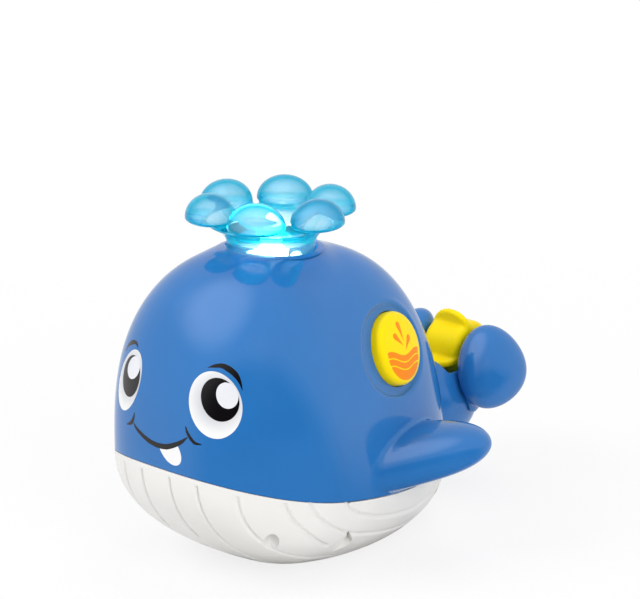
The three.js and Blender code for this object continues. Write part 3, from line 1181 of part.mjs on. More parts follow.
function tailStock() {
  const hullClear = fuse(domeSolid(-CLEARANCE), bellySolid(-CLEARANCE));
  const blob = cut(ellipsoid(TAIL_CENTRE, TAIL_HALF, 0), hullClear);
  const hollow = cut(
    ellipsoid(TAIL_CENTRE, TAIL_HALF, -TAIL_WALL, 10, 6),
    wheelSlot(TAIL_WALL),
    fuse(domeSolid(TAIL_WALL), bellySolid(TAIL_WALL)),
  );
  const boss = alongTail(rod(TAIL_BOSS_RADIUS, 0, TAIL_CENTRE.y - TAIL_BOSS_END, 18), TAIL_BOSS_END);
  const bossBore = alongTail(
    rod(TAIL_BOSS_BORE, 0, TAIL_CENTRE.y - TAIL_BOSS_END - TAIL_BOSS_WEB, 14),
    TAIL_BOSS_END + TAIL_BOSS_WEB,
  );
  const screwHole = alongTail(rod(screwBore, -1, TAIL_BOSS_WEB + 1, 10), TAIL_BOSS_END);
  const solid = cut(fuse(blob, boss), wheelSlot(0));
  const bossOnly = cut(boss, hullClear);
  return cut(solid, cut(hollow, bossOnly), bossBore, screwHole, pegHole(), mirrored(pegHole()));
}

function eggSolid(inset, rings, sides) {
  const along = new THREE.Vector3(Math.sin(FLUKE_SPLAY), Math.cos(FLUKE_SPLAY), 0);
  along.multiplyScalar(Math.cos(FLUKE_PITCH)).setZ(Math.sin(FLUKE_PITCH));
  const level = new THREE.Vector3(Math.cos(FLUKE_SPLAY), -Math.sin(FLUKE_SPLAY), 0);
  const thickness = level.clone().applyAxisAngle(along, -FLUKE_ROLL);
  const height = thickness.clone().cross(along);
  const pole = (end) => FLUKE_CENTRE.clone().addScaledVector(along, end * (FLUKE_HALF_LENGTH - inset));
  const rows = Array.from({ length: rings - 1 }, (_, row) => {
    const share = -Math.cos(((row + 1) / rings) * Math.PI);
    const swell = Math.sqrt(1 - share * share) * (1 + FLUKE_EGG * share);
    const centre = FLUKE_CENTRE.clone().addScaledVector(along, share * (FLUKE_HALF_LENGTH - inset));
    return Array.from({ length: sides }, (__, side) => {
      const angle = (side / sides) * 2 * Math.PI;
      return centre.clone()
        .addScaledVector(thickness, (FLUKE_HALF_THICKNESS - inset) * swell * Math.cos(angle))
        .addScaledVector(height, (FLUKE_HALF_HEIGHT - inset) * swell * Math.sin(angle));
    });
  });
  return skin(rows, pole(-1), pole(1));
}

function fluke() {
  const egg = eggSolid(0, 8, 14);
  const axleAt = (radius, low, high) =>
    fromGroup(wheelGroup, rod(radius, low, high, 12).rotateY(Math.PI / 2));
  const slotSide = WHEEL_HALF_WIDTH + WHEEL_END_GAP;
  const boss = common(axleAt(AXLE_BOSS_RADIUS, slotSide, slotSide + 2 + AXLE_SEAT + TAIL_WALL), egg);
  const neck = aimed(rod(FLUKE_NECK_RADIUS, 6, FLUKE_PEG_DEPTH - 4, 16), FLUKE_CENTRE, neckAxis);
  const peg = aimed(rod(FLUKE_PEG_RADIUS, 12, FLUKE_PEG_DEPTH, 12), FLUKE_CENTRE, neckAxis);
  const hollow = cut(eggSolid(TAIL_WALL, 5, 8), boss);
  const body = cut(fuse(egg, neck), ellipsoid(TAIL_CENTRE, TAIL_HALF, CLEARANCE), wheelSlot(0));
  const bore = aimed(rod(FLUKE_PEG_BORE, 4, FLUKE_PEG_DEPTH + 1, 8), FLUKE_CENTRE, neckAxis);
  const axleHole = axleAt(AXLE_RADIUS + CLEARANCE / 2, 0, slotSide + AXLE_SEAT + 2);
  return cut(fuse(cut(body, hollow), peg), bore, axleHole);
}

function tailRetainer() {
  const high = TAIL_BOSS_END - CLEARANCE;
  const low = high - TAIL_RETAINER_THICKNESS;
  const disc = alongTail(rod(TAIL_RETAINER_RADIUS, low, high, 18), 0);
  const skirtInner = TAIL_BOSS_RADIUS + CLEARANCE;
  const skirt = alongTail(ring(skirtInner, TAIL_RETAINER_RADIUS, high - 1, REAR_REACH, 18), 0);
  const inside = domeSolid(WALL + CLEARANCE, GASKET_STEP);
  return cut(common(fuse(disc, skirt), inside), alongTail(rod(screwBore, low - 1, high + 1, 10), 0));
}

// A drum about Z with rounded ends.
function barrel(radius, halfWidth, edge, steps, sides) {
  const corner = new THREE.Path().absarc(radius - edge, halfWidth - edge, edge, Math.PI / 2, 0, true);
  const upper = corner.getPoints(steps).map((point) => [point.x, point.y]);
  const lower = upper.map(([reach, height]) => [reach, -height]).reverse();
  return turned([[0, halfWidth], ...upper, ...lower, [0, -halfWidth]], sides);
}

// Water wheel: a drum with four round-ended blades, which rests with its top blade leaning to the nose
function waterWheel() {
  const drum = barrel(DRUM_RADIUS, WHEEL_HALF_WIDTH, DRUM_EDGE, 3, 20);
  const cross = fuse(block(0, 0, 0, FAR, WHEEL_BLADE, FAR), block(0, 0, 0, WHEEL_BLADE, FAR, FAR));
  const blades = common(barrel(WHEEL_RADIUS, WHEEL_HALF_WIDTH, WHEEL_EDGE, 4, 24), cross);
  const bore = rod(AXLE_RADIUS + CLEARANCE, -FAR, FAR, 12);
  return cut(fuse(drum, blades), bore).rotateZ(WHEEL_LEAN).rotateY(Math.PI / 2);
}

piece(toy, "tail_stock", tailStock(), plastic(BLUE));
const leftFluke = fluke();
piece(toy, "fluke_left", leftFluke, plastic(BLUE));
piece(toy, "fluke_right", mirrored(leftFluke), plastic(BLUE));
piece(toy, "tail_retainer", tailRetainer(), plastic(GREY, 0.5));
const tailScrewSeat = TAIL_BOSS_END - TAIL_RETAINER_THICKNESS - 2 * CLEARANCE;
const tailScrewLength = TAIL_RETAINER_THICKNESS + TAIL_SCREW_BITE;
const tailScrew = screw(SCREW_HEAD_RADIUS, SCREW_HEAD, SCREW_RADIUS, tailScrewLength).rotateX(Math.PI);
piece(toy, "tail_screw", alongTail(tailScrew, tailScrewSeat), metal(STEEL));
piece(wheelGroup, "water_wheel", waterWheel(), plastic(YELLOW));
const axleHalf = WHEEL_HALF_WIDTH + WHEEL_END_GAP + AXLE_SEAT + 2 - CLEARANCE;
piece(wheelGroup, "wheel_axle", rod(AXLE_RADIUS, -axleHalf, axleHalf, 12).rotateY(Math.PI / 2), metal(STEEL));

// Stand the toy on its base, with the middle of its underside at the origin
const box = new THREE.Box3().setFromObject(toy);
const middle = box.getCenter(new THREE.Vector3());
toy.position.set(-middle.x, -middle.y, -box.min.z);

export default toy;
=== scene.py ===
"""Looks of the whale bath toy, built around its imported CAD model.

Shapes are worked out in millimetres in the design frame: nose towards -Y, the whale's left side +X,
heights from the seam beside the datum. to_frame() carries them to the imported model's frame in metres.
"""
import json
import math

import bmesh
import bpy
import numpy as np
from mathutils import Matrix, Vector
from mathutils.kdtree import KDTree


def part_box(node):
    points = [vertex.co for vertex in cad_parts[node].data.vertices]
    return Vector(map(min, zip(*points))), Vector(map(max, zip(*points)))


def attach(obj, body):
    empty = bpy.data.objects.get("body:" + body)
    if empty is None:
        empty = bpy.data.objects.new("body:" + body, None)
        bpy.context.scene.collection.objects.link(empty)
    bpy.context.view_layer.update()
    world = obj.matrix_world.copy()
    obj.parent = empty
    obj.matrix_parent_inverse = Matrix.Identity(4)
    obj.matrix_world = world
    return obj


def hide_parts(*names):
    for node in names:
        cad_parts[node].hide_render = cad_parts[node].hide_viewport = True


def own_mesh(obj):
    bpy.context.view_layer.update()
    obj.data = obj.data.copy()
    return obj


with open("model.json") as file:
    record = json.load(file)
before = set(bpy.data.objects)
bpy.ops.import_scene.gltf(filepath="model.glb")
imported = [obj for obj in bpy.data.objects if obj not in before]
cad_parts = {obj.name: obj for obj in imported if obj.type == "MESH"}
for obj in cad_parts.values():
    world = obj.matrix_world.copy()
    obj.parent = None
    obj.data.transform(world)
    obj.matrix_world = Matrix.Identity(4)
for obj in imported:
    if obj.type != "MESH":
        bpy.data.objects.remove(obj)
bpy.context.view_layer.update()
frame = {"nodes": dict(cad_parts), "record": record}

# Hull form
MM = 0.001
BODY_HALF_WIDTH = 48.5
NOSE_REACH = 54.5
REAR_REACH = 88.5
NOSE_SQUARENESS = 2.37
REAR_SQUARENESS = 2.85
DOME_HEIGHT = 89.9
CROWN_LIFT = 0.7
CROWN_SPREAD = 21.5
DOME_NOSE_SWELL = 2.73
DOME_NOSE_ROUND = 1.79
DOME_REAR_SWELL = 1.98
DOME_REAR_ROUND = 3.19
BELLY_DEPTH = 35.7
BELLY_SWELL = 2.29
BELLY_ROUND = 2.09
BASE_FLAT = 2.8
SEAM_SLOPE = 0.225
SEAM_BOW = 0.0017
SEAM_GAP = 0.2
SEAM_EDGE = 0.12
WALL = 2.4

# Side fins
FIN_ROOT = np.array((BODY_HALF_WIDTH - 10.5, 35, 5.0))
FIN_TIP = np.array((BODY_HALF_WIDTH + 24.5, 55.6, 14.8))
FIN_ROOT_HALF_CHORD = 22.4
FIN_TIP_HALF_CHORD = 12.6
FIN_ROOT_RISE = 12.5
FIN_TIP_RISE = 9.4
FIN_ROOT_DROP = 11.6
FIN_TIP_DROP = 8.2
FIN_BLUNTNESS = 5
FIN_SECTION = 2.2
FIN_FILLET = 2

# Spout
SPOUT_Y = 9.75
NECK_RADIUS = 17.2
NECK_BORE = 15
NECK_TOP = DOME_HEIGHT + 2
FLARE_RADIUS = 24.5
FLARE_TOP = DOME_HEIGHT + 8.9
CUP_RADIUS = 17.5
CUP_RIM = DOME_HEIGHT + 11.6
CUP_FLOOR = DOME_HEIGHT + 4.6
CUP_FLOOR_RADIUS = 12.5
CUP_FLOOR_WALL = 2.2
FLANGE_RADIUS = 19
FLANGE_THICKNESS = 2.2
FLANGE_BOTTOM = DOME_HEIGHT - 12.2
NOZZLE_HOLE = 4.5
SPOUT_HOLE_GAP = 1.2
SPOUT_HOLE_BOTTOM = 75
LOBE_COUNT = 6
LOBE_RING = 24
LOBE_HEIGHT = DOME_HEIGHT + 12.8
LOBE_HALF = np.array((9.6, 11.2))
LOBE_RISE = 9
LOBE_DROP = 3
LOBE_FILLET = 1.6

# Button
BUTTON_CENTRE = np.array((39.517, 39.287, 49.785))
BUTTON_RADIUS = 14.5
BUTTON_RECESS_RADIUS = 17.8
BUTTON_RECESS_LENGTH = 20.2
BUTTON_RECESS_FORWARD = 2.4
BUTTON_PAD_RADIUS = 19
BUTTON_PAD_DEPTH = 12
BUTTON_BORE_DEPTH = 8
BUTTON_FLOOR = -2.8
BUTTON_PROUD = 4.2
BUTTON_CROWN = 0.8
BUTTON_EDGE = 2.4
BUTTON_WALL = 1.8
BUTTON_FLANGE_RADIUS = 16.1
BUTTON_FLANGE_TOP = -6.1
BUTTON_FLANGE_BOTTOM = -7.6
BUTTON_STEM_RADIUS = 3
BUTTON_STEM_END = -12
BUTTON_GAP = 0.35

# Belly
GROOVE_PLACES = np.array((8.2, 21.3, 35))
GROOVE_START = 2.1
SIDE_GROOVES = (  # courses along the flanks as (y, distance below the seam)
    ((-29.6, 1.8), (-28.5, 4.2), (-26.5, 7.1), (-21.8, 10.8), (-14.8, 15), (-8, 18.2), (-5.5, 19)),
    ((-19.2, -0.5), (-18.3, 1.8), (-16.3, 4.5), (-10.3, 8.6), (-2, 12.2),
     (6, 14.2), (16, 15.5), (28, 16.8), (40.8, 17.6), (56, 17.5)),
    ((-1.3, -0.5), (0.6, 1.6), (4.5, 4.5), (12.5, 6.9), (22.4, 8.6),
     (35.6, 9.6), (46, 9.6), (54, 8.2), (62, 5), (67, -0.5)),
)
SIDE_GROOVE_INSIDE = 36
GROOVE_BOW = 0.000045
GROOVE_MIDDLE = -6
GROOVE_DEPTH = 1.1
GROOVE_HALF_WIDTH = 0.62
OUTLINE_HOLD = 80
NEARLY_OUT = 0.9995  # share of the half width up to which pleats are worked out
WELL_Y = -42
WELL_HALF_LENGTH = 2.4
WELL_DEPTH = 0.9
DOOR_HALF_WIDTH = 33
DOOR_FRONT = -30
DOOR_REAR = 44
DOOR_CORNER = 14
DOOR_GAP = 0.35
SCREW_X = 0.74 * BODY_HALF_WIDTH
SCREW_SEATS = ((-0.541 * NOSE_REACH, 1), (0.7175 * REAR_REACH, -15))
SCREW_PLACES = [(side * SCREW_X, y, seat) for y, seat in SCREW_SEATS for side in (1, -1)]
SCREW_RECESS_RADIUS = 3.2
DOOR_SCREW_PLACES = (-26.3, 40.3)
DOOR_SCREW_SEAT = 1.6
INTAKE_CORNER = np.array((BODY_HALF_WIDTH - 2.7, 3.2, -14.9))
INTAKE_AXIS = np.array((0.8, -0.13, -0.58))
INTAKE_TURN = math.radians(38)
INTAKE_LENGTH = 8.4
INTAKE_WIDTH = 8
INTAKE_DEPTH = 2.6
INTAKE_SLOT_WIDTH = 0.7
INTAKE_SLOT_DEPTH = 9

# Tail
TAIL_CENTRE = np.array((0.0, REAR_REACH + 19.5, 2.0))
TAIL_HALF = np.array((17.5, 23.0, 19.5))
TAIL_BOSS_HEIGHT = 5.5
TAIL_BOSS_RADIUS = 8
TAIL_BOSS_END = REAR_REACH - 7.5
TAIL_FILLET = 8
WHEEL_CENTRE = np.array((0.0, REAR_REACH + 36, 22.0))
WHEEL_RADIUS = 17.5
WHEEL_HALF_WIDTH = 10
WHEEL_EDGE = 9.4
WHEEL_BLADE = 3.2
WHEEL_LEAN = math.radians(14)
DRUM_RADIUS = 12.3
DRUM_EDGE = 4
WHEEL_BORE = 1.8
SLOT_RADIUS = 19.1
SLOT_HALF_WIDTH = 11
FLUKE_CENTRE = np.array((23.1, REAR_REACH + 32, 18.2))
FLUKE_HALF_LENGTH = 15.5
FLUKE_HALF_HEIGHT = 17.5
FLUKE_HALF_THICKNESS = 9.5
FLUKE_EGG = -0.18
FLUKE_SPLAY = math.radians(30)
FLUKE_PITCH = math.radians(-15)
FLUKE_ROLL = math.radians(25)
FLUKE_NECK_TARGET = np.array((6.0, REAR_REACH + 23.5, -6.0))
FLUKE_NECK_RADIUS = 7
FLUKE_NECK_LENGTH = 20
FLUKE_FILLET = 4
SEAT_GAP = 0.3

# Camera, found by fitting the hull's outline, seam and spout to the photograph
CAMERA_BEARING = math.radians(42.06)
CAMERA_ELEVATION = math.radians(16.57)
CAMERA_DISTANCE = 866.55
CAMERA_SIDE = 25.223
CAMERA_TARGET_HEIGHT = 70.047
CAMERA_LENS = 127.37
SENSOR_WIDTH = 36

axle_low, axle_high = (np.array(corner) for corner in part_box("wheel_axle"))
SHIFT = (axle_low + axle_high) / 2 / MM - WHEEL_CENTRE


def to_frame(points):
    """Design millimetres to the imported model's metres."""
    return (np.asarray(points) + SHIFT) * MM


def unit(vector):
    return np.asarray(vector) / np.linalg.norm(vector)


def signed_power(value, exponent):
    return np.sign(value) * np.abs(value) ** exponent


# Fields: each takes points (n, 3) and is negative inside the form

def smooth_min(a, b, reach):
    blend = np.maximum(reach - np.abs(a - b), 0) / reach
    return np.minimum(a, b) - blend * blend * reach / 4


def smooth_max(a, b, reach):
    return -smooth_min(-a, -b, reach)


def slopes(field, points, step):
    """A field's values at points, and its slopes there."""
    value = field(points)
    return value, np.stack([(field(points + step * axis) - value) / step for axis in np.eye(3)], axis=1)


def distance(level, points):
    """First-order distance to the zero surface of a level function."""
    value, slope = slopes(level, points, 0.05)
    return value / np.maximum(np.linalg.norm(slope, axis=1), 1e-6)


def bisect(low, high, within, rounds=40):
    """Narrows spans, from low ends where within is true, to the places where it stops being true."""
    for _ in range(rounds):
        middle = (low + high) / 2
        inside = within(middle)
        low, high = np.where(inside, middle, low), np.where(inside, high, middle)
    return low, high


def run_along(x, y):
    """Length along a line up to each of its points."""
    return np.concatenate(((0,), np.cumsum(np.hypot(np.diff(x), np.diff(y)))))


def ellipsoid_distance(points, half):
    near = np.linalg.norm(points / half, axis=1)
    far = np.linalg.norm(points / (half * half), axis=1)
    return near * (near - 1) / np.maximum(far, 1e-9)


def seam_height(y):
    return -SEAM_SLOPE * y + SEAM_BOW * y * y


def plan_outline(angle):
    """The hull's plan at the seam, at an angle from the nose towards the left side."""
    forward = np.cos(angle)
    squareness = np.where(forward >= 0, NOSE_SQUARENESS, REAR_SQUARENESS)
    reach = np.where(forward >= 0, NOSE_REACH, REAR_REACH)
    x = BODY_HALF_WIDTH * signed_power(np.sin(angle), 2 / squareness)
    return x, -reach * signed_power(forward, 2 / squareness)


PLAN_ANGLES = np.linspace(0, np.pi, 2400)
PLAN_X, PLAN_Y = plan_outline(PLAN_ANGLES)


def plan_share(x, y, centre_y):
    """How far out a point is, 0 at a centre on the middle line and 1 at the outline, and the outline's angle there."""
    bearings = np.arctan2(PLAN_X, -(PLAN_Y - centre_y))
    reaches = np.hypot(PLAN_X, PLAN_Y - centre_y)
    bearing = np.arctan2(np.abs(x), -(y - centre_y))
    share = np.hypot(x, y - centre_y) / np.interp(bearing, bearings, reaches)
    return share, np.interp(bearing, bearings, PLAN_ANGLES)


def dome_level(points):
    x, y, z = points.T
    share, angle = plan_share(x, y, SPOUT_Y)
    rear = (1 - np.cos(angle)) / 2
    swell = DOME_NOSE_SWELL + (DOME_REAR_SWELL - DOME_NOSE_SWELL) * rear
    rounding = DOME_NOSE_ROUND + (DOME_REAR_ROUND - DOME_NOSE_ROUND) * rear
    rim = seam_height(plan_outline(angle)[1]) * share
    plain = DOME_HEIGHT * np.maximum(1 - share ** rounding, 0) ** (1 / swell) + rim
    crown = np.exp(-(np.hypot(x, y - SPOUT_Y) / CROWN_SPREAD) ** 6) * (DOME_HEIGHT + CROWN_LIFT - plain)
    level = np.maximum(z - crown - rim, 0) / DOME_HEIGHT
    return (level ** swell + share ** rounding) ** (2 / (swell + rounding)) - 1


def dome_distance(points):
    return distance(dome_level, points)


def belly_height(x, y):
    """Height of the belly's outside under a place in the plan."""
    share, angle = plan_share(x, y, 0)
    share = np.minimum(share, 1)
    level = (1 - share ** BELLY_ROUND) ** (1 / BELLY_SWELL)
    rim = seam_height(plan_outline(angle)[1]) - SEAM_GAP
    return smooth_max(rim * share - BELLY_DEPTH * level, np.full_like(share, BASE_FLAT - BELLY_DEPTH), 0.8)


def fin_level(points):
    local = np.column_stack((np.abs(points[:, 0]), points[:, 1:])) - FIN_ROOT
    length = np.linalg.norm(FIN_TIP - FIN_ROOT)
    along = (FIN_TIP - FIN_ROOT) / length
    chord = unit(np.cross((0, 0, 1), along))
    rise = np.cross(along, chord)
    share = np.clip(local @ along / length, 0, 1.4)
    half_chord = FIN_ROOT_HALF_CHORD + (FIN_TIP_HALF_CHORD - FIN_ROOT_HALF_CHORD) * share
    up = FIN_ROOT_RISE + (FIN_TIP_RISE - FIN_ROOT_RISE) * share
    down = FIN_ROOT_DROP + (FIN_TIP_DROP - FIN_ROOT_DROP) * share
    height = local @ rise
    across = np.abs(local @ chord) / half_chord
    section = across ** FIN_SECTION + (np.abs(height) / np.where(height > 0, up, down)) ** FIN_SECTION
    return section ** (2 / FIN_SECTION) + share ** FIN_BLUNTNESS - 1


JOINTS = {joint["name"]: joint for joint in frame["record"]["behaviour"]["joints"]}
BUTTON_AXIS = -unit(JOINTS["button_press"]["axis"])
BUTTON_RIGHT = unit(np.array((0, 1, 0)) - BUTTON_AXIS[1] * BUTTON_AXIS)
BUTTON_UP = np.cross(BUTTON_AXIS, BUTTON_RIGHT)


def on_button(right, up, out):
    """A point given along the button's own axes."""
    right, up, out = np.broadcast_arrays(right, up, out)
    return BUTTON_CENTRE + right[..., None] * BUTTON_RIGHT + up[..., None] * BUTTON_UP + out[..., None] * BUTTON_AXIS


def shell_field(points):
    """Dome with fins, the button's pad and spot face, and the spout's hole."""
    joined = smooth_min(dome_distance(points), distance(fin_level, points), FIN_FILLET)
    local = points - BUTTON_CENTRE
    out = local @ BUTTON_AXIS
    around = np.hypot(local @ BUTTON_RIGHT, local @ BUTTON_UP)
    pad = np.maximum(smooth_max(around - BUTTON_PAD_RADIUS, out - BUTTON_FLOOR, 1), -out - BUTTON_PAD_DEPTH)
    joined = smooth_min(joined, pad, 2)
    forward = (local @ BUTTON_RIGHT + BUTTON_RECESS_FORWARD) * BUTTON_RECESS_RADIUS / BUTTON_RECESS_LENGTH
    recess = np.hypot(forward, local @ BUTTON_UP) - BUTTON_RECESS_RADIUS
    spot_face = smooth_max(recess, BUTTON_FLOOR - out, 0.8)
    joined = smooth_max(joined, -spot_face, 1.6)
    bore = np.maximum(around - BUTTON_RADIUS - 3 * BUTTON_GAP, -out - BUTTON_BORE_DEPTH)
    joined = np.maximum(joined, -bore)
    spout_hole = np.hypot(points[:, 0], points[:, 1] - SPOUT_Y) - NECK_RADIUS - SPOUT_HOLE_GAP
    spout_hole = np.maximum(spout_hole, SPOUT_HOLE_BOTTOM - points[:, 2])
    return np.maximum(joined, -spout_hole)


def bezier(a, b, c, d, count):
    t = np.linspace(0, 1, count)[:, None]
    a, b, c, d = (np.array(point, float) for point in (a, b, c, d))
    return (1 - t) ** 3 * a + 3 * t * (1 - t) ** 2 * b + 3 * t * t * (1 - t) * c + t ** 3 * d


def spout_profile():
    """The spout's turned section as (radius, height), closed."""
    flange = FLANGE_BOTTOM + FLANGE_THICKNESS
    flare = bezier(
        (NECK_RADIUS, NECK_TOP),
        (NECK_RADIUS + 0.6, NECK_TOP + 2.8),
        (FLARE_RADIUS - 3.8, FLARE_TOP - 1.6),
        (FLARE_RADIUS, FLARE_TOP),
        12,
    )
    rim = bezier(
        (FLARE_RADIUS, FLARE_TOP),
        (FLARE_RADIUS + 1.5, FLARE_TOP + 0.8),
        (CUP_RADIUS + 2, CUP_RIM + 0.6),
        (CUP_RADIUS, CUP_RIM),
        8,
    )
    cup = bezier(
        (CUP_RADIUS, CUP_RIM),
        (CUP_RADIUS - 2, CUP_RIM - 2),
        (CUP_FLOOR_RADIUS + 1, CUP_FLOOR + 2),
        (CUP_FLOOR_RADIUS, CUP_FLOOR),
        8,
    )
    low = [(NECK_BORE, FLANGE_BOTTOM), (FLANGE_RADIUS, FLANGE_BOTTOM), (FLANGE_RADIUS, flange), (NECK_RADIUS, flange)]
    under = CUP_FLOOR - CUP_FLOOR_WALL
    inside = [(NOZZLE_HOLE, CUP_FLOOR), (NOZZLE_HOLE, under), (NECK_BORE, under)]
    return np.vstack((low, flare, rim[1:], cup[1:], inside))


SPOUT_PROFILE = spout_profile()


def section_distance(radius, height, section):
    """Signed distance to a closed polygon in the (radius, height) plane."""
    point = np.column_stack((radius, height))
    nearest = np.full(len(point), np.inf)
    inside = np.zeros(len(point), bool)
    for start, end in zip(section, np.roll(section, -1, axis=0)):
        edge = end - start
        share = np.clip((point - start) @ edge / max(edge @ edge, 1e-12), 0, 1)
        nearest = np.minimum(nearest, np.linalg.norm(point - start - share[:, None] * edge, axis=1))
        crosses = (start[1] > height) != (end[1] > height)
        if edge[1]:
            inside ^= crosses & (radius < start[0] + (height - start[1]) / edge[1] * edge[0])
    return np.where(inside, -nearest, nearest)


def spout_field(points):
    x, y, z = points[:, 0], points[:, 1] - SPOUT_Y, points[:, 2]
    joined = section_distance(np.hypot(x, y), z, SPOUT_PROFILE)
    lobes = np.full(len(points), np.inf)
    for turn in range(LOBE_COUNT):
        angle = (turn + 0.5) / LOBE_COUNT * 2 * math.pi - math.pi / 2
        out = x * math.cos(angle) + y * math.sin(angle) - LOBE_RING
        side = y * math.cos(angle) - x * math.sin(angle)
        up = z - LOBE_HEIGHT
        half = np.column_stack((*(np.full(len(x), size) for size in LOBE_HALF), np.where(up > 0, LOBE_RISE, LOBE_DROP)))
        lobes = np.minimum(lobes, ellipsoid_distance(np.column_stack((out, side, up)), half))
    return smooth_min(joined, lobes, LOBE_FILLET)


def wheel_slot(points):
    local = points - WHEEL_CENTRE
    return np.maximum(np.hypot(local[:, 1], local[:, 2]) - SLOT_RADIUS, np.abs(local[:, 0]) - SLOT_HALF_WIDTH)


def stock_blob(points):
    return ellipsoid_distance(points - TAIL_CENTRE, TAIL_HALF)


def hull_outside(points):
    """Distance from the closed hull, dome above the seam and belly below it."""
    x, y, z = points.T
    return np.maximum(dome_distance(points), belly_height(x, y) - z)


def stock_field(points):
    boss_radius = np.hypot(points[:, 0], points[:, 2] - TAIL_BOSS_HEIGHT) - TAIL_BOSS_RADIUS
    boss = np.maximum(boss_radius, TAIL_BOSS_END - points[:, 1])
    boss = np.maximum(boss, points[:, 1] - TAIL_CENTRE[1])
    outside = smooth_max(smooth_min(stock_blob(points), boss, TAIL_FILLET), SEAT_GAP - hull_outside(points), 0.8)
    return smooth_max(np.minimum(outside, boss), -wheel_slot(points), 1)


FLUKE_ALONG = np.array((
    math.sin(FLUKE_SPLAY) * math.cos(FLUKE_PITCH),
    math.cos(FLUKE_SPLAY) * math.cos(FLUKE_PITCH),
    math.sin(FLUKE_PITCH),
))
FLUKE_LEVEL = np.array((math.cos(FLUKE_SPLAY), -math.sin(FLUKE_SPLAY), 0))
FLUKE_THICKNESS = (
    FLUKE_LEVEL * math.cos(FLUKE_ROLL) + np.cross(FLUKE_LEVEL, FLUKE_ALONG) * math.sin(FLUKE_ROLL)
)
FLUKE_HEIGHT = np.cross(FLUKE_THICKNESS, FLUKE_ALONG)


def egg_level(points):
    local = points - FLUKE_CENTRE
    along = np.clip(local @ FLUKE_ALONG / FLUKE_HALF_LENGTH, -2, 2)
    swell = 1 + FLUKE_EGG * along
    across = np.hypot(local @ FLUKE_THICKNESS / FLUKE_HALF_THICKNESS, local @ FLUKE_HEIGHT / FLUKE_HALF_HEIGHT)
    return np.sqrt((across / swell) ** 2 + along ** 2) - 1


def fluke_field(points):
    axis = unit(FLUKE_NECK_TARGET - FLUKE_CENTRE)
    local = points - FLUKE_CENTRE
    along = local @ axis
    radius = np.linalg.norm(local - along[:, None] * axis, axis=1)
    neck = np.maximum(radius - FLUKE_NECK_RADIUS, np.abs(along - FLUKE_NECK_LENGTH / 2) - FLUKE_NECK_LENGTH / 2)
    joined = smooth_min(distance(egg_level, points), neck, FLUKE_FILLET)
    joined = smooth_max(joined, SEAT_GAP - stock_blob(points), 0.8)
    return smooth_max(joined, -wheel_slot(points), 1)


def barrel(local, radius, half_width, edge):
    """A drum about the X axis with rounded rims."""
    around = np.hypot(local[:, 1], local[:, 2])
    corner = np.column_stack((around - radius + edge, np.abs(local[:, 0]) - half_width + edge))
    return np.linalg.norm(np.maximum(corner, 0), axis=1) + np.minimum(corner.max(axis=1), 0) - edge


def wheel_field(points):
    """Four round-ended blades about a drum."""
    local = points - WHEEL_CENTRE
    blades = np.full(len(points), np.inf)
    for turn in (0, math.pi / 2):
        side = local[:, 1] * math.cos(WHEEL_LEAN + turn) + local[:, 2] * math.sin(WHEEL_LEAN + turn)
        blades = np.minimum(blades, np.abs(side) - WHEEL_BLADE / 2)
    blades = smooth_max(barrel(local, WHEEL_RADIUS, WHEEL_HALF_WIDTH, WHEEL_EDGE), blades, 1.6)
    joined = smooth_min(blades, barrel(local, DRUM_RADIUS, WHEEL_HALF_WIDTH, DRUM_EDGE), 1.2)
    return np.maximum(joined, WHEEL_BORE - np.hypot(local[:, 1], local[:, 2]))


# Meshes from fields

SHELL_STEP = 0.85
FINE_STEP = 0.6
WHEEL_STEP = 0.45
BLOCK = 4
CELL_CORNERS = np.array([(i, j, k) for i in (0, 1) for j in (0, 1) for k in (0, 1)])
CELL_EDGES = [(a, b) for a in range(8) for b in range(a + 1, 8) if np.abs(CELL_CORNERS[a] - CELL_CORNERS[b]).sum() == 1]


def sample(field, low, high, step):
    """Field values on a grid, worked out finely only in the blocks near the surface."""
    low = np.array(low, float)
    counts = np.ceil((np.array(high) - low) / (step * BLOCK)).astype(int)
    middles = np.stack(np.meshgrid(*(np.arange(n) for n in counts), indexing="ij"), axis=-1)
    middles = low + (middles + 0.5 - 0.5 / BLOCK) * step * BLOCK
    coarse = field(middles.reshape(-1, 3)).reshape(counts)
    values = coarse
    near = np.abs(coarse) < 1.6 * step * BLOCK
    for axis in range(3):
        values = values.repeat(BLOCK, axis=axis)
        near = near.repeat(BLOCK, axis=axis)
    places = np.argwhere(near)
    values = values.copy()
    values[near] = field(low + places * step)
    return low, values


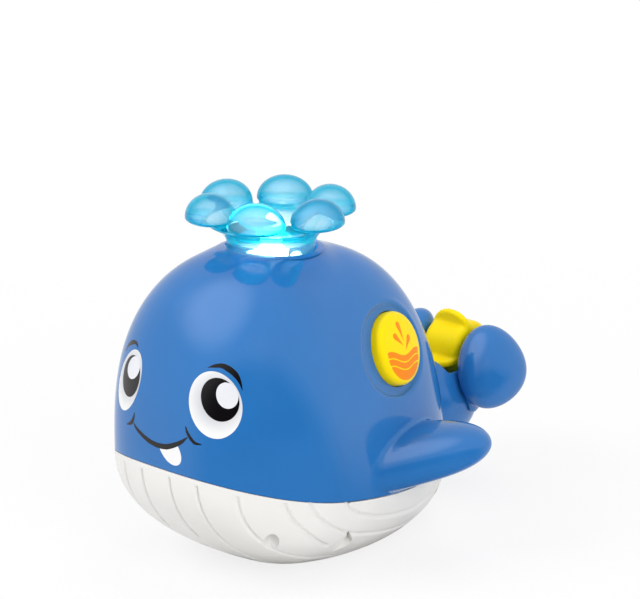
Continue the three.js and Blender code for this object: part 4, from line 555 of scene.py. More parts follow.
def surface_net(field, low, high, step):
    """Quads over the zero surface of a field, one point in each cell that the surface crosses."""
    low, values = sample(field, low, high, step)
    inside = values < 0
    cells = np.array(values.shape) - 1
    count = np.zeros(cells, int)
    for i, j, k in CELL_CORNERS:
        count += inside[i:i + cells[0], j:j + cells[1], k:k + cells[2]]
    places = np.argwhere((count > 0) & (count < 8))
    corner_values = np.stack([values[tuple((places + corner).T)] for corner in CELL_CORNERS], axis=1)
    total = np.zeros((len(places), 3))
    crossings = np.zeros(len(places))
    for a, b in CELL_EDGES:
        va, vb = corner_values[:, a], corner_values[:, b]
        crosses = (va < 0) != (vb < 0)
        share = np.where(crosses, va / np.where(crosses, va - vb, 1), 0)
        spot = CELL_CORNERS[a] + share[:, None] * (CELL_CORNERS[b] - CELL_CORNERS[a])
        total += np.where(crosses[:, None], spot, 0)
        crossings += crosses
    points = low + (places + total / crossings[:, None]) * step
    number = np.full(cells, -1)
    number[tuple(places.T)] = np.arange(len(places))
    faces = []
    for axis in range(3):
        u, v = (axis + 1) % 3, (axis + 2) % 3
        first = np.take(inside, range(values.shape[axis] - 1), axis=axis)
        second = np.take(inside, range(1, values.shape[axis]), axis=axis)
        edges = np.argwhere(first != second)
        edges = edges[(edges[:, u] > 0) & (edges[:, v] > 0) & (edges[:, u] < cells[u]) & (edges[:, v] < cells[v])]
        quad = []
        for du, dv in ((1, 1), (0, 1), (0, 0), (1, 0)):
            cell = edges.copy()
            cell[:, u] -= du
            cell[:, v] -= dv
            quad.append(number[tuple(cell.T)])
        quad = np.stack(quad, axis=1)
        leaves = first[tuple(edges.T)]
        faces.append(np.where(leaves[:, None], quad, quad[:, ::-1]))
    return settle(field, points, step), np.vstack(faces)


def settle(field, points, step):
    """Moves points onto the zero surface."""
    for _ in range(2):
        value, slope = slopes(field, points, 0.02)
        move = value[:, None] * slope / np.maximum((slope * slope).sum(axis=1), 0.05)[:, None]
        size = np.linalg.norm(move, axis=1, keepdims=True)
        points = points - move * np.minimum(1, 0.4 * step / np.maximum(size, 1e-9))
    return points


# Objects

def make_mesh(name, points, faces):
    """A smooth mesh from design millimetres."""
    mesh = bpy.data.meshes.new(name)
    mesh.from_pydata(to_frame(points).tolist(), [], [[int(i) for i in face] for face in faces])
    mesh.validate()
    mesh.polygons.foreach_set("use_smooth", [True] * len(mesh.polygons))
    mesh.update()
    return mesh


def add_object(name, data):
    item = bpy.data.objects.new(name, data)
    bpy.context.scene.collection.objects.link(item)
    return item


def add_piece(name, mesh, slot, replaced=(), body="hull", material=None):
    """A piece that rides a body and stands for CAD nodes, with its slot's material unless another is given."""
    piece = add_object(name, mesh)
    mesh.materials.clear()
    mesh.materials.append(material or SLOT_MATERIALS[slot])
    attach(piece, body)
    if replaced:
        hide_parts(*replaced)
    return piece


def add_form(name, form, slot, replaced=(), body="hull", material=None, sharp=None):
    """A piece from its points and faces. Edges over a number of degrees can be kept sharp."""
    mesh = make_mesh(name, *form)
    if sharp:
        mesh.set_sharp_from_angle(angle=math.radians(sharp))
    return add_piece(name, mesh, slot, replaced, body, material)


def full_turn(sides):
    return np.linspace(0, 2 * math.pi, sides, endpoint=False)


def grid_faces(rows, columns, closed=False, first=0):
    """Quads between rows of points; closed rows join their last column to their first."""
    wide = columns if closed else columns - 1
    faces = []
    for row in range(rows - 1):
        for column in range(wide):
            a = first + row * columns + column
            b = first + row * columns + (column + 1) % columns
            faces.append((a, b, b + columns, a + columns))
    return faces


def turned(profile, place, sides=96):
    """Points and faces of a profile of (radius, height) turned about an axis. place(across, up, out) gives a point."""
    turns = full_turn(sides)
    points = [place(radius * np.cos(turns), radius * np.sin(turns), np.full(sides, height)) for radius, height in profile]
    return np.vstack(points), grid_faces(len(profile), sides, closed=True)


def rolled(centre, angle, across, up):
    """Places in a plane, given along axes that are rolled about a centre."""
    right = centre[0] + across * math.cos(angle) - up * math.sin(angle)
    return right, centre[1] + across * math.sin(angle) + up * math.cos(angle)


def rounded_corner(start, corner, end, count=6):
    """A quarter-round path between two points, about their corner."""
    t = np.linspace(0, 1, count)[:, None]
    start, corner, end = (np.array(point, float) for point in (start, corner, end))
    return ((1 - t) ** 2 * start + 2 * t * (1 - t) * corner + t * t * end).tolist()


# Materials

class Graph:
    """The nodes of a material or of the world. An input takes a plain value or another node's output."""

    def __init__(self, tree):
        self.nodes, self.links = tree.nodes, tree.links

    def put(self, socket, value):
        if isinstance(value, bpy.types.NodeSocket):
            self.links.new(value, socket)
        else:
            socket.default_value = value

    def add(self, kind, inputs, output, **settings):
        """The named output of a new node."""
        node = self.nodes.new(kind)
        for name, value in settings.items():
            setattr(node, name, value)
        for name, value in inputs.items():
            self.put(node.inputs[name], value)
        return node.outputs[output]

    def shade(self, inputs):
        shader = self.nodes["Principled BSDF"]
        for name, value in inputs.items():
            self.put(shader.inputs[name], value)

    def place(self, output="Object"):
        return self.add("ShaderNodeTexCoord", {}, output)

    def math(self, operation, *values):
        return self.add("ShaderNodeMath", dict(enumerate(values)), "Value", operation=operation)

    def vector(self, operation, *values, output="Value"):
        return self.add("ShaderNodeVectorMath", dict(enumerate(values)), output, operation=operation)

    def mapped(self, value, low, high, kind="LINEAR"):
        """A value carried over between two pairs of (from, to)."""
        inputs = {"Value": value, "From Min": low[0], "To Min": low[1], "From Max": high[0], "To Max": high[1]}
        return self.add("ShaderNodeMapRange", inputs, "Result", interpolation_type=kind)

    def ramp(self, value, *stops):
        """The colour for a value, between stops of (value, colour)."""
        node = self.nodes.new("ShaderNodeValToRGB")
        elements = node.color_ramp.elements
        for position, _ in stops[1:-1]:
            elements.new(position)
        for element, (position, colour) in zip(elements, stops):
            element.position = position
            element.color = (*colour, 1)
        self.put(node.inputs["Fac"], value)
        return node.outputs["Color"]

    def noise(self, scale, detail=4.0):
        """A noise pattern fixed to the object."""
        inputs = {"Vector": self.place(), "Scale": scale, "Detail": detail}
        return self.add("ShaderNodeTexNoise", inputs, "Fac")

    def spread(self, scale, low, high):
        """A noise pattern's middle range spread between two values."""
        return self.mapped(self.noise(scale), (NOISE_LOW, low), (NOISE_HIGH, high))

    def tinted(self, scale, colour, change):
        """A colour that a noise pattern makes a little darker and lighter."""
        dark = [part * (1 - change) for part in colour]
        light = [min(1, part * (1 + change)) for part in colour]
        return self.ramp(self.noise(scale), (NOISE_LOW, dark), (NOISE_HIGH, light))

    def reach_from(self, centre):
        """Distance of the shaded point from a place of the design, in metres."""
        return self.vector("DISTANCE", self.place(), to_frame(centre).tolist())

    def glow(self, near, far):
        """Strength of the painted glow around the nozzle: (distance in mm, strength) close to it and far from it."""
        reach = self.reach_from((0, SPOUT_Y, GLOW_HEIGHT))
        return self.mapped(reach, (near[0] * MM, near[1]), (far[0] * MM, far[1]), "SMOOTHSTEP")


def node_material(name):
    material = bpy.data.materials.new(name)
    material.use_nodes = True
    return material, Graph(material.node_tree)


def moulded(name, colour, roughness, change=0.03, texture=0.012, specular=0.5, metallic=0):
    """Moulded plastic: slight cloudiness of colour and gloss, and a fine tool texture."""
    material, graph = node_material(name)
    bump = {"Strength": texture, "Distance": 0.0004, "Height": graph.noise(900, 2.0)}
    graph.shade({
        "Base Color": graph.tinted(45, colour, change),
        "Roughness": graph.spread(140, 0.85 * roughness, 1.2 * roughness),
        "Metallic": metallic,
        "Normal": graph.add("ShaderNodeBump", bump, "Normal"),
        "IOR": 1.5,
        "Specular IOR Level": specular,
    })
    return material


def plated(name, colour, roughness):
    """Plated metal with fine turning marks."""
    return moulded(name, colour, roughness, change=0.06, texture=0.05, metallic=1)


def printed(name, colour, specular=0.5):
    """Pad-printed ink: a thin, slightly uneven, glossy film."""
    return moulded(name, colour, 0.16, change=0.04, texture=0.02, specular=specular)


def shaded_white(name, centre):
    """White ink with a soft grey shade printed around a place."""
    material, graph = node_material(name)
    share = graph.mapped(graph.reach_from(centre), (0, 0), (SHADE_REACH * MM, 1))
    clouds = graph.math("MULTIPLY_ADD", graph.noise(120), 0.06, share)
    graph.shade({
        "Base Color": graph.ramp(clouds, (0.5, SHADE_GREY), (0.95, PRINT_WHITE)),
        "Roughness": graph.spread(200, 0.28, 0.36),
    })
    return material


def clear_with_painted_glow(name):
    """Clear plastic with a painted glow of the nozzle's lamps as its emission. Its colour depth attribute deepens from
    the neck to the undersides of the lobes, as painted light on the lobes' tops and painted shade under them; edges
    seen at a slant deepen too.
    """
    material, graph = node_material(name)
    tint_and_shade = graph.add("ShaderNodeAttribute", {}, "Fac", attribute_name="tint_and_shade")
    facing = graph.add("ShaderNodeLayerWeight", {"Blend": 0.3}, "Facing")
    clouds = graph.math("MULTIPLY_ADD", graph.noise(160, 2.0), 0.12, tint_and_shade)
    depth = graph.math("MULTIPLY_ADD", facing, 1.9, clouds)
    colour = graph.ramp(depth, (0.1, CLEAR_AQUA), (0.35, PALE_AQUA), (0.85, DEEP_AQUA))
    # Inputs of the mix: its factor, then its two colours. The emission is a painted glow: lamp coloured near the
    # nozzle, fading away from it.
    light = {0: graph.glow((12, 1), (22, 0)), 6: colour, 7: (*LAMP_LIGHT, 1)}
    graph.shade({
        "Base Color": colour,
        "Emission Color": graph.add("ShaderNodeMix", light, 2, data_type="RGBA"),
        "Emission Strength": graph.glow((7, 0.9), (16, 0.05)),
        "Transmission Weight": graph.mapped(tint_and_shade, (0, 0.95), (LOBE_TOP_TINT_AND_SHADE, 0.75)),
        "Roughness": graph.spread(220, 0.04, 0.09),
        "IOR": 1.15,
        "Coat Weight": 0.4,
        "Coat Roughness": 0.04,
    })
    return material


def shining(name, roughness, strength=None):
    """Plastic full of the lamps' light as emission: evenly strong for the lamps' own lenses, or a painted glow falling
    off from the middle of the nozzle.
    """
    material, graph = node_material(name)
    colour = graph.tinted(300, LAMP_LIGHT, 0.05)
    graph.shade({
        "Base Color": colour,
        "Emission Color": colour,
        "Emission Strength": strength or graph.glow((4, 10), (16, 0.6)),
        "Roughness": roughness,
    })
    return material


NOISE_LOW, NOISE_HIGH = 0.3, 0.7
BLUE = (0.020, 0.160, 0.46)
OFF_WHITE = (0.82, 0.81, 0.785)
YELLOW = (0.97, 0.72, 0.001)
CLEAR_AQUA = (0.80, 0.97, 0.99)
PALE_AQUA = (0.38, 0.75, 0.93)
DEEP_AQUA = (0.001, 0.46, 0.68)
# Colour depth drawn on the lobes' tops, pale as painted light, and on the neck
LOBE_TOP_TINT_AND_SHADE = 0.16
NECK_TINT = 0.06
GLOW_HEIGHT = DOME_HEIGHT + 7
LAMP_LIGHT = (1, 0.97, 0.78)
ORANGE = (0.94, 0.25, 0.005)
INK = (0.004, 0.003, 0.004)
PRINT_WHITE = (0.88, 0.88, 0.88)
PRINT_GREY = (0.76, 0.77, 0.81)
SHADE_GREY = (0.60, 0.61, 0.65)
SHADE_REACH = 14
STEEL = (0.55, 0.56, 0.58)
SOOT = (0.025, 0.025, 0.027)

SLOT_MATERIALS = {
    "blue_plastic": moulded("blue_plastic", BLUE, 0.09),
    "white_plastic": moulded("white_plastic", OFF_WHITE, 0.34, change=0.015),
    "yellow_plastic": moulded("yellow_plastic", YELLOW, 0.24, specular=0.15),
    "aqua_plastic": clear_with_painted_glow("aqua_plastic"),
    "seal_rubber": moulded("seal_rubber", SOOT, 0.7, texture=0.06),
    "steel": plated("steel", STEEL, 0.32),
    "cell_jacket": plated("cell_jacket", (0.48, 0.24, 0.05), 0.35),
    "motor_can": plated("motor_can", STEEL, 0.4),
    "grey_plastic": moulded("grey_plastic", (0.27, 0.28, 0.30), 0.5),
    "board": moulded("board", (0.014, 0.147, 0.045), 0.4, change=0.12),
    "black_plastic": moulded("black_plastic", SOOT, 0.45),
    "lamp_lens": shining("lamp_lens", 0.15, 3),
    "clear_hose": moulded("clear_hose", (0.70, 0.72, 0.74), 0.3),
}
ink_black = printed("ink_black", INK)
ink_white = printed("ink_white", PRINT_WHITE)
ink_grey = printed("ink_grey", PRINT_GREY)
ink_orange = printed("ink_orange", ORANGE, 0.15)
for subpart in frame["record"]["subparts"]:
    node = frame["nodes"][subpart["node"]]
    node.data.materials.clear()
    node.data.materials.append(SLOT_MATERIALS[subpart["material_slot"]])
# The nozzle is no lamp: its emission is a painted glow of the lamps' light
frame["nodes"]["spout_nozzle"].data.materials[0] = shining("nozzle_painted_glow", 0.5)


# Upper shell

def upper_shell():
    """The shell's outside, cut cleanly above the seam and rolled over into its rim."""
    reach = FIN_TIP[0] + 3
    low, high = (-reach, -NOSE_REACH - 2, -12), (reach, REAR_REACH + 2, DOME_HEIGHT + 6)
    points, faces = surface_net(shell_field, low, high, SHELL_STEP)
    level = bmesh.new()
    above = points - np.column_stack((np.zeros((len(points), 2)), seam_height(points[:, 1])))
    made = [level.verts.new(point) for point in above]
    for face in faces:
        level.faces.new([made[i] for i in face])
    everything = level.verts[:] + level.edges[:] + level.faces[:]
    bmesh.ops.bisect_plane(
        level, geom=everything, dist=1e-5, plane_co=(0, 0, SEAM_EDGE), plane_no=(0, 0, 1), clear_inner=True
    )
    roll_rim(level)
    for vertex in level.verts:
        vertex.co.z += seam_height(vertex.co.y)
        vertex.co = Vector(to_frame(vertex.co))
    mesh = bpy.data.meshes.new("upper_shell_form")
    bmesh.ops.recalc_face_normals(level, faces=level.faces[:])
    level.to_mesh(mesh)
    level.free()
    mesh.polygons.foreach_set("use_smooth", [True] * len(mesh.polygons))
    return mesh


def roll_rim(level):
    """Adds rows that turn the cut edge inwards: a small round, then the flat of the rim."""
    rim = [edge for edge in level.edges if edge.is_boundary and all(abs(v.co.z - SEAM_EDGE) < 1e-4 for v in edge.verts)]
    rows = ((0.05, 0.55), (0.15, 0.2), (0.4, 0), (WALL, 0))
    for inset, share in rows:
        grown = bmesh.ops.extrude_edge_only(level, edges=rim)["geom"]
        for vertex in (item for item in grown if isinstance(item, bmesh.types.BMVert)):
            flat = np.array((vertex.co.x, vertex.co.y))
            x, y = plan_outline(plan_share(flat[:1], flat[1:], SPOUT_Y)[1])
            outline = np.array((math.copysign(x[0], flat[0]), y[0]))
            inward = np.array((0, SPOUT_Y)) - outline
            target = outline + inward / np.linalg.norm(inward) * inset
            vertex.co = (*target, SEAM_EDGE * share)
        rim = [item for item in grown if isinstance(item, bmesh.types.BMEdge) and item.is_boundary]


def dome_out(points, lift):
    """Points near the dome, moved onto it and lifted off it by a film's thickness."""
    for _ in range(6):
        value, slope = slopes(dome_level, points, 0.02)
        points = points - value[:, None] * slope / (slope * slope).sum(axis=1)[:, None]
    return points + lift * slope / np.linalg.norm(slope, axis=1, keepdims=True)


add_piece("upper_shell_form", upper_shell(), "blue_plastic", ["upper_shell"])


def recess_washer():
    """The floor of the button's recess next to the button, with the rounded edge of the bore."""
    inner = BUTTON_RADIUS + BUTTON_GAP
    film = BUTTON_FLOOR + 0.01
    profile = [(BUTTON_RECESS_RADIUS - 0.9, film), (inner + 0.5, film)]
    profile += rounded_corner((inner + 0.3, film), (inner, film), (inner, film - 0.3))
    profile += [(inner, BUTTON_FLANGE_TOP + 0.3)]
    return turned(profile[::-1], on_button)


def on_spout(across, up, out):
    return np.stack((across, up + SPOUT_Y, out), axis=-1)


def spout_collar():
    """The dome's skin around the spout's neck, with the rounded edge of the hole."""
    inner = NECK_RADIUS + 0.45
    rings = []
    sides = 128
    turns = full_turn(sides)
    for outward, lift in ((2.6, 0.015), (1.2, 0.015), (0.5, 0.01), (0.15, -0.1), (0, -0.45)):
        radius = inner + outward
        start = on_spout(radius * np.cos(turns), radius * np.sin(turns), np.full(sides, DOME_HEIGHT))
        ring = dome_out(start, lift)
        ring[:, :2] = start[:, :2]
        rings.append(ring)
    rings.append(rings[-1] - (0, 0, 4))
    return np.vstack(rings[::-1]), grid_faces(len(rings), sides, closed=True)


add_form("button_recess_floor", recess_washer(), "blue_plastic")
add_form("spout_hole_edge", spout_collar(), "blue_plastic")


# Belly

def pleat_x(start, y):
    """Where a pleat that starts at x beside the datum has come to at y. The outermost follow the hull's outline."""
    hold = (np.abs(start) / BODY_HALF_WIDTH) ** OUTLINE_HOLD
    outline = np.interp(y, PLAN_Y, PLAN_X) / BODY_HALF_WIDTH
    return start * ((1 - hold) * (1 - GROOVE_BOW * (y - GROOVE_MIDDLE) ** 2) + hold * outline)


def belly_sheet():
    """The pleated outside of the belly: columns run from the nose to the tail, close together at each groove."""
    shares = np.linspace(0, NEARLY_OUT, 4000)
    depth = BELLY_DEPTH * (1 - shares ** BELLY_ROUND) ** (1 / BELLY_SWELL)
    lengths = run_along(shares * BODY_HALF_WIDTH, depth)
    grooves = np.interp(GROOVE_PLACES / BODY_HALF_WIDTH, shares, lengths)
    near = np.array((0.15, 0.3, 0.45, 0.65, 0.85, 1.1, 1.5))
    near = np.concatenate((-near, (0,), near))
    side = np.interp(SIDE_GROOVE_INSIDE / BODY_HALF_WIDTH, shares, lengths)
    fine = np.arange(side, lengths[-1], 0.4)
    half = np.concatenate((np.arange(1, side, 1.4), (grooves[:, None] + near).ravel(), fine, lengths[-1:]))
    half = np.unique(np.round(half[(half > 0) & (half <= lengths[-1])], 3))
    run = np.concatenate((-half[::-1], (0,), half))
    start = np.sign(run) * np.interp(np.abs(run), lengths, shares) * BODY_HALF_WIDTH
    start[[0, -1]] = -BODY_HALF_WIDTH, BODY_HALF_WIDTH

    inner = np.clip(start, -NEARLY_OUT * BODY_HALF_WIDTH, NEARLY_OUT * BODY_HALF_WIDTH)

    def on_belly(y):
        return plan_share(pleat_x(inner, y), y, 0)[0] < 1

    nose, rear = (
        bisect(np.zeros_like(start), np.full_like(start, end), on_belly)[0] for end in (-NOSE_REACH, REAR_REACH)
    )
    turns = np.linspace(0, math.pi, 301)
    y = np.where(turns[:, None] < math.pi / 2, nose, rear) * np.abs(np.cos(turns))[:, None]
    x = pleat_x(start, y)
    z = belly_height(x.ravel(), y.ravel()).reshape(x.shape)
    sheet = np.stack((x, y, z), axis=-1)
    normal = np.cross(np.gradient(sheet, axis=1), np.gradient(sheet, axis=0))
    normal /= np.maximum(np.linalg.norm(normal, axis=2, keepdims=True), 1e-9)
    gaps = np.abs(np.abs(run)[:, None] - grooves)
    nearest, gap = gaps.argmin(axis=1), gaps.min(axis=1)
    below = seam_height(y) - SEAM_GAP - z
    fade = np.clip((below - GROOVE_START) / 0.8, 0, 1) * (z > BASE_FLAT - BELLY_DEPTH + 0.05)
    inner_groove = nearest == 0
    fade = fade * np.where(inner_groove, np.clip((WELL_Y + WELL_HALF_LENGTH - y) / 1.5, 0, 1), 1)
    sink = GROOVE_DEPTH * np.exp(-(gap / GROOVE_HALF_WIDTH) ** 2) * fade
    well = np.exp(-(gap / (1.5 * GROOVE_HALF_WIDTH)) ** 4 - ((y - WELL_Y) / WELL_HALF_LENGTH) ** 4)
    sink = np.maximum(sink, (GROOVE_DEPTH + WELL_DEPTH) * well * inner_groove)
    sink = np.maximum(sink, GROOVE_DEPTH * np.exp(-(side_groove_gap(sheet) / GROOVE_HALF_WIDTH) ** 2))
    inward = np.where((normal * sheet).sum(axis=2) < 0, 1, -1)
    return sheet + normal * (inward * sink)[..., None]


def side_groove_gap(sheet):
    """Distance of the sheet's points from the grooves along the flanks."""
    lines = []
    for places in SIDE_GROOVES:
        y, below = np.array(places, float).T
        run = run_along(y, below)
        fine = np.linspace(0, run[-1], int(run[-1] / 0.2))
        y, below = smooth_through(run, y, fine), smooth_through(run, below, fine)
        z = seam_height(y) - SEAM_GAP - below
        outline = np.interp(y, PLAN_Y, PLAN_X)
        x = bisect(np.zeros_like(y), outline, lambda x: belly_height(x, y) < z, 30)[0]
        lines.append(np.column_stack((x, y, z)))
    tree = KDTree(sum(len(line) for line in lines))
    for number, point in enumerate(np.vstack(lines)):
        tree.insert(point, number)
    tree.balance()
    gaps = np.full(sheet.shape[:2], 9.0)
    for row, column in np.argwhere(np.abs(sheet[..., 0]) > SIDE_GROOVE_INSIDE - 8):
        x, y, z = sheet[row, column]
        gaps[row, column] = tree.find((abs(x), y, z))[2]
    return gaps


def smooth_through(steps, values, run):
    """A smooth curve through values at steps."""
    slopes = np.gradient(values, steps)
    k = np.clip(np.searchsorted(steps, run, side="right") - 1, 0, len(steps) - 2)
    width = steps[k + 1] - steps[k]
    t = (run - steps[k]) / width
    ends = (1 + 2 * t) * (1 - t) ** 2 * values[k] + t * t * (3 - 2 * t) * values[k + 1]
    return ends + width * t * (1 - t) * ((1 - t) * slopes[k] - t * slopes[k + 1])


def belly_solid():
    sheet = belly_sheet()
    rows, columns = sheet.shape[:2]
    points = sheet.reshape(-1, 3)
    faces = grid_faces(rows, columns)
    rim = [(0, c) for c in range(columns)] + [(r, columns - 1) for r in range(1, rows)]
    rim += [(rows - 1, c) for c in range(columns - 2, -1, -1)] + [(r, 0) for r in range(rows - 2, 0, -1)]
    ring = [r * columns + c for r, c in rim]
    top = len(points)
    points = np.vstack((points, (0, SPOUT_Y, seam_height(SPOUT_Y) - SEAM_GAP)))
    faces += [(ring[i], top, ring[(i + 1) % len(ring)]) for i in range(len(ring))]
    return tidy_mesh("belly_solid", points, faces)


def tidy_mesh(name, points, faces):
    """A closed mesh with merged points and faces that look outwards."""
    mesh = make_mesh(name, points, faces)
    work = bmesh.new()
    work.from_mesh(mesh)
    bmesh.ops.remove_doubles(work, verts=work.verts[:], dist=2e-6)
    bmesh.ops.dissolve_degenerate(work, dist=1e-7, edges=work.edges[:])
    bmesh.ops.recalc_face_normals(work, faces=work.faces[:])
    work.to_mesh(mesh)
    work.free()
    return mesh


def rounded_outline(grow, count=10):
    """The battery door's outline in the plan."""
    half, front, rear, corner = DOOR_HALF_WIDTH + grow, DOOR_FRONT - grow, DOOR_REAR + grow, DOOR_CORNER + grow
    turns = np.linspace(0, math.pi / 2, count)
    side, back, fore = half - corner, rear - corner, front + corner
    arcs = []
    for quarter, (x, y) in enumerate(((side, back), (-side, back), (-side, fore), (side, fore))):
        angle = turns + quarter * math.pi / 2
        arcs.append(np.column_stack((x + corner * np.cos(angle), y + corner * np.sin(angle))))
    return np.vstack(arcs)


def column(outline, low, high):
    """A closed upright column over an outline in the plan."""
    count = len(outline)
    points = np.vstack([np.column_stack((outline, np.full(count, height))) for height in (low, high)])
    faces = grid_faces(2, count, closed=True)
    faces += [tuple(range(count))[::-1], tuple(range(count, 2 * count))]
    return points, faces


def circle(x, y, radius, sides=40):
    turns = full_turn(sides)
    return np.column_stack((x + radius * np.cos(turns), y + radius * np.sin(turns)))


def intake_tools():
    """The ramped recess of the intake and the slot along its wall, in place."""
    axis = unit(INTAKE_AXIS)
    across = unit(np.array((0, 1, 0)) - axis[1] * axis)
    up = np.cross(axis, across)
    inward = across * math.cos(INTAKE_TURN) + up * math.sin(INTAKE_TURN)
    basis = np.stack((inward, np.cross(axis, inward) * -1, axis))
    ramp, ramp_faces = column(box_outline(-INTAKE_LENGTH, 0, 0, INTAKE_WIDTH), 0, 2 * INTAKE_DEPTH)
    ramp[:4, 2] = -INTAKE_DEPTH * (1 + ramp[:4, 0] / INTAKE_LENGTH)
    slot_outline = box_outline(-0.1, INTAKE_SLOT_WIDTH, 0.4, INTAKE_WIDTH - 0.8)
    slot, slot_faces = column(slot_outline, -INTAKE_SLOT_DEPTH, INTAKE_DEPTH)
    return [(INTAKE_CORNER + ramp @ basis, ramp_faces), (INTAKE_CORNER + slot @ basis, slot_faces)]


def box_outline(left, right, front, rear):
    return np.array(((left, front), (right, front), (right, rear), (left, rear)), float)


def boolean(mesh, tools, operation):
    """The mesh after each tool has been taken away from it, or kept in common with it."""
    worked = add_object("worked", mesh)
    helpers = []
    for number, tool in enumerate(tools):
        helper = add_object(f"tool_{number}", tidy_mesh(f"tool_{number}", *tool))
        helpers.append(helper)
        step = worked.modifiers.new(helper.name, "BOOLEAN")
        step.operation = operation
        step.object = helper
        step.solver = "EXACT"
    graph = bpy.context.evaluated_depsgraph_get()
    result = bpy.data.meshes.new_from_object(worked.evaluated_get(graph))
    for item in (worked, *helpers):
        bpy.data.objects.remove(item)
    result.polygons.foreach_set("use_smooth", [True] * len(result.polygons))
    result.set_sharp_from_angle(angle=math.radians(40))
    return result


def door_screw_seat(y):
    """Where a door screw's head sits: clear of the belly all around its recess."""
    around = np.array((y - SCREW_RECESS_RADIUS, y, y + SCREW_RECESS_RADIUS))
    return belly_height(np.zeros(3), around).max() + DOOR_SCREW_SEAT


def door_screw(y):
    """A pan-headed screw with a socket, head down, as far up its recess as the belly's slope asks."""
    seat, radius = door_screw_seat(y), SCREW_RECESS_RADIUS - 0.5
    head = [(0.001, seat - 0.5), (1.0, seat - 0.5), (1.15, seat - 1.15), (0.7 * radius, seat - 1.05)]
    head += rounded_corner((0.7 * radius, seat - 1.05), (radius, seat - 0.95), (radius, seat - 0.3))
    shank = [(radius, seat - 0.02), (1.3, seat), (1.3, seat + 6), (0.7, seat + 7), (0.001, seat + 7)]
    return turned(head + shank, lambda across, up, out: np.stack((across, up + y, out), axis=-1), 32)


CUT_BOTTOM = -BELLY_DEPTH - 5
solid = belly_solid()
door_inside = column(rounded_outline(-DOOR_GAP), CUT_BOTTOM, -10)
door_opening = column(rounded_outline(0), CUT_BOTTOM, -8)
door_holes = [column(circle(0, y, SCREW_RECESS_RADIUS), CUT_BOTTOM, door_screw_seat(y)) for y in DOOR_SCREW_PLACES]
screw_holes = [column(circle(x, y, SCREW_RECESS_RADIUS), CUT_BOTTOM, seat) for x, y, seat in SCREW_PLACES]
door = boolean(boolean(solid.copy(), [door_inside], "INTERSECT"), door_holes, "DIFFERENCE")
bowl = boolean(solid, [door_opening, *screw_holes, *intake_tools()], "DIFFERENCE")
add_piece("belly_form", bowl, "white_plastic", ["belly_shell"])
add_piece("battery_door_form", door, "white_plastic", ["battery_door"])
for number, y in enumerate(DOOR_SCREW_PLACES, 1):
    add_form(f"door_screw_{number}_form", door_screw(y), "steel", [f"battery_door_screw_{number}"], sharp=40)


# Spout, tail and wheel

def spout_tint_and_shade(points):
    """How deep the clear plastic's colour is drawn: clear on the neck, pale on the lobes' tops as painted light, deep
    under them as painted shade.
    """
    x, y, z = points[:, 0], points[:, 1] - SPOUT_Y, points[:, 2]
    sector = 2 * math.pi / LOBE_COUNT
    angle = (np.arctan2(y, x) + math.pi / 2) % sector - sector / 2
    out = np.hypot(x, y) * np.cos(angle) - LOBE_RING
    side = np.hypot(x, y) * np.sin(angle)
    edge = np.hypot(out / LOBE_HALF[0], side / LOBE_HALF[1])
    deep = np.clip((LOBE_HEIGHT + 2 - z) / 6, 0, 1)
    lobe = LOBE_TOP_TINT_AND_SHADE + (1 - LOBE_TOP_TINT_AND_SHADE) * deep * deep * (3 - 2 * deep)
    on_lobe = np.clip((1.15 - edge) / 0.12, 0, 1) * np.clip((z - LOBE_HEIGHT + LOBE_DROP + 1) / 1.5, 0, 1)
    return NECK_TINT + (lobe - NECK_TINT) * on_lobe


spout_reach = LOBE_RING + LOBE_HALF[0] + 3
spout_low = (-spout_reach, SPOUT_Y - spout_reach, FLANGE_BOTTOM - 2)
spout_high = (spout_reach, SPOUT_Y + spout_reach, LOBE_HEIGHT + LOBE_RISE + 4)
spout_form = add_form("spout_form", surface_net(spout_field, spout_low, spout_high, FINE_STEP), "aqua_plastic", ["spout"])
# The spout's colour depth attribute carries painted light on the lobes' tops and painted shade under them
places = np.empty(3 * len(spout_form.data.vertices))
spout_form.data.vertices.foreach_get("co", places)
tint_and_shade = spout_form.data.attributes.new("tint_and_shade", "FLOAT", "POINT")
tint_and_shade.data.foreach_set("value", spout_tint_and_shade(places.reshape(-1, 3) / MM - SHIFT))

stock_low, stock_high = TAIL_CENTRE - TAIL_HALF - 2, TAIL_CENTRE + TAIL_HALF + 2
stock_low[1] = TAIL_BOSS_END - 2
add_form("tail_stock_form", surface_net(stock_field, stock_low, stock_high, FINE_STEP), "blue_plastic", ["tail_stock"])

wheel_reach = np.array((WHEEL_HALF_WIDTH, WHEEL_RADIUS, WHEEL_RADIUS)) + 2
wheel_form = surface_net(wheel_field, WHEEL_CENTRE - wheel_reach, WHEEL_CENTRE + wheel_reach, WHEEL_STEP)
add_form("water_wheel_form", wheel_form, "yellow_plastic", ["water_wheel"], "water_wheel")

points, faces = surface_net(fluke_field, FLUKE_CENTRE - (20, 22, 26), FLUKE_CENTRE + (20, 22, 22), FINE_STEP)
for side, name in ((1, "left"), (-1, "right")):
    fluke = points * (side, 1, 1), faces[:, ::side]
    add_form(f"fluke_{name}_form", fluke, "blue_plastic", [f"fluke_{name}"])


# Button

def button_profile():
    """The cap's face as (radius, height), from its middle over its rounded edge to its side."""
    rim = BUTTON_FLOOR + BUTTON_PROUD
    crown = np.linspace(0.001, BUTTON_RADIUS - BUTTON_EDGE, 14)
    profile = [(radius, rim + BUTTON_CROWN * (1 - (radius / crown[-1]) ** 2)) for radius in crown]
    edge = rounded_corner(profile[-1], (BUTTON_RADIUS - 0.25, rim - 0.35), (BUTTON_RADIUS, rim - BUTTON_EDGE), 10)
    return profile + edge[1:]


BUTTON_PROFILE = button_profile()


def button_face(radius):
    """Height of the cap's face at a radius."""
    return np.interp(radius, *np.array(BUTTON_PROFILE).T)


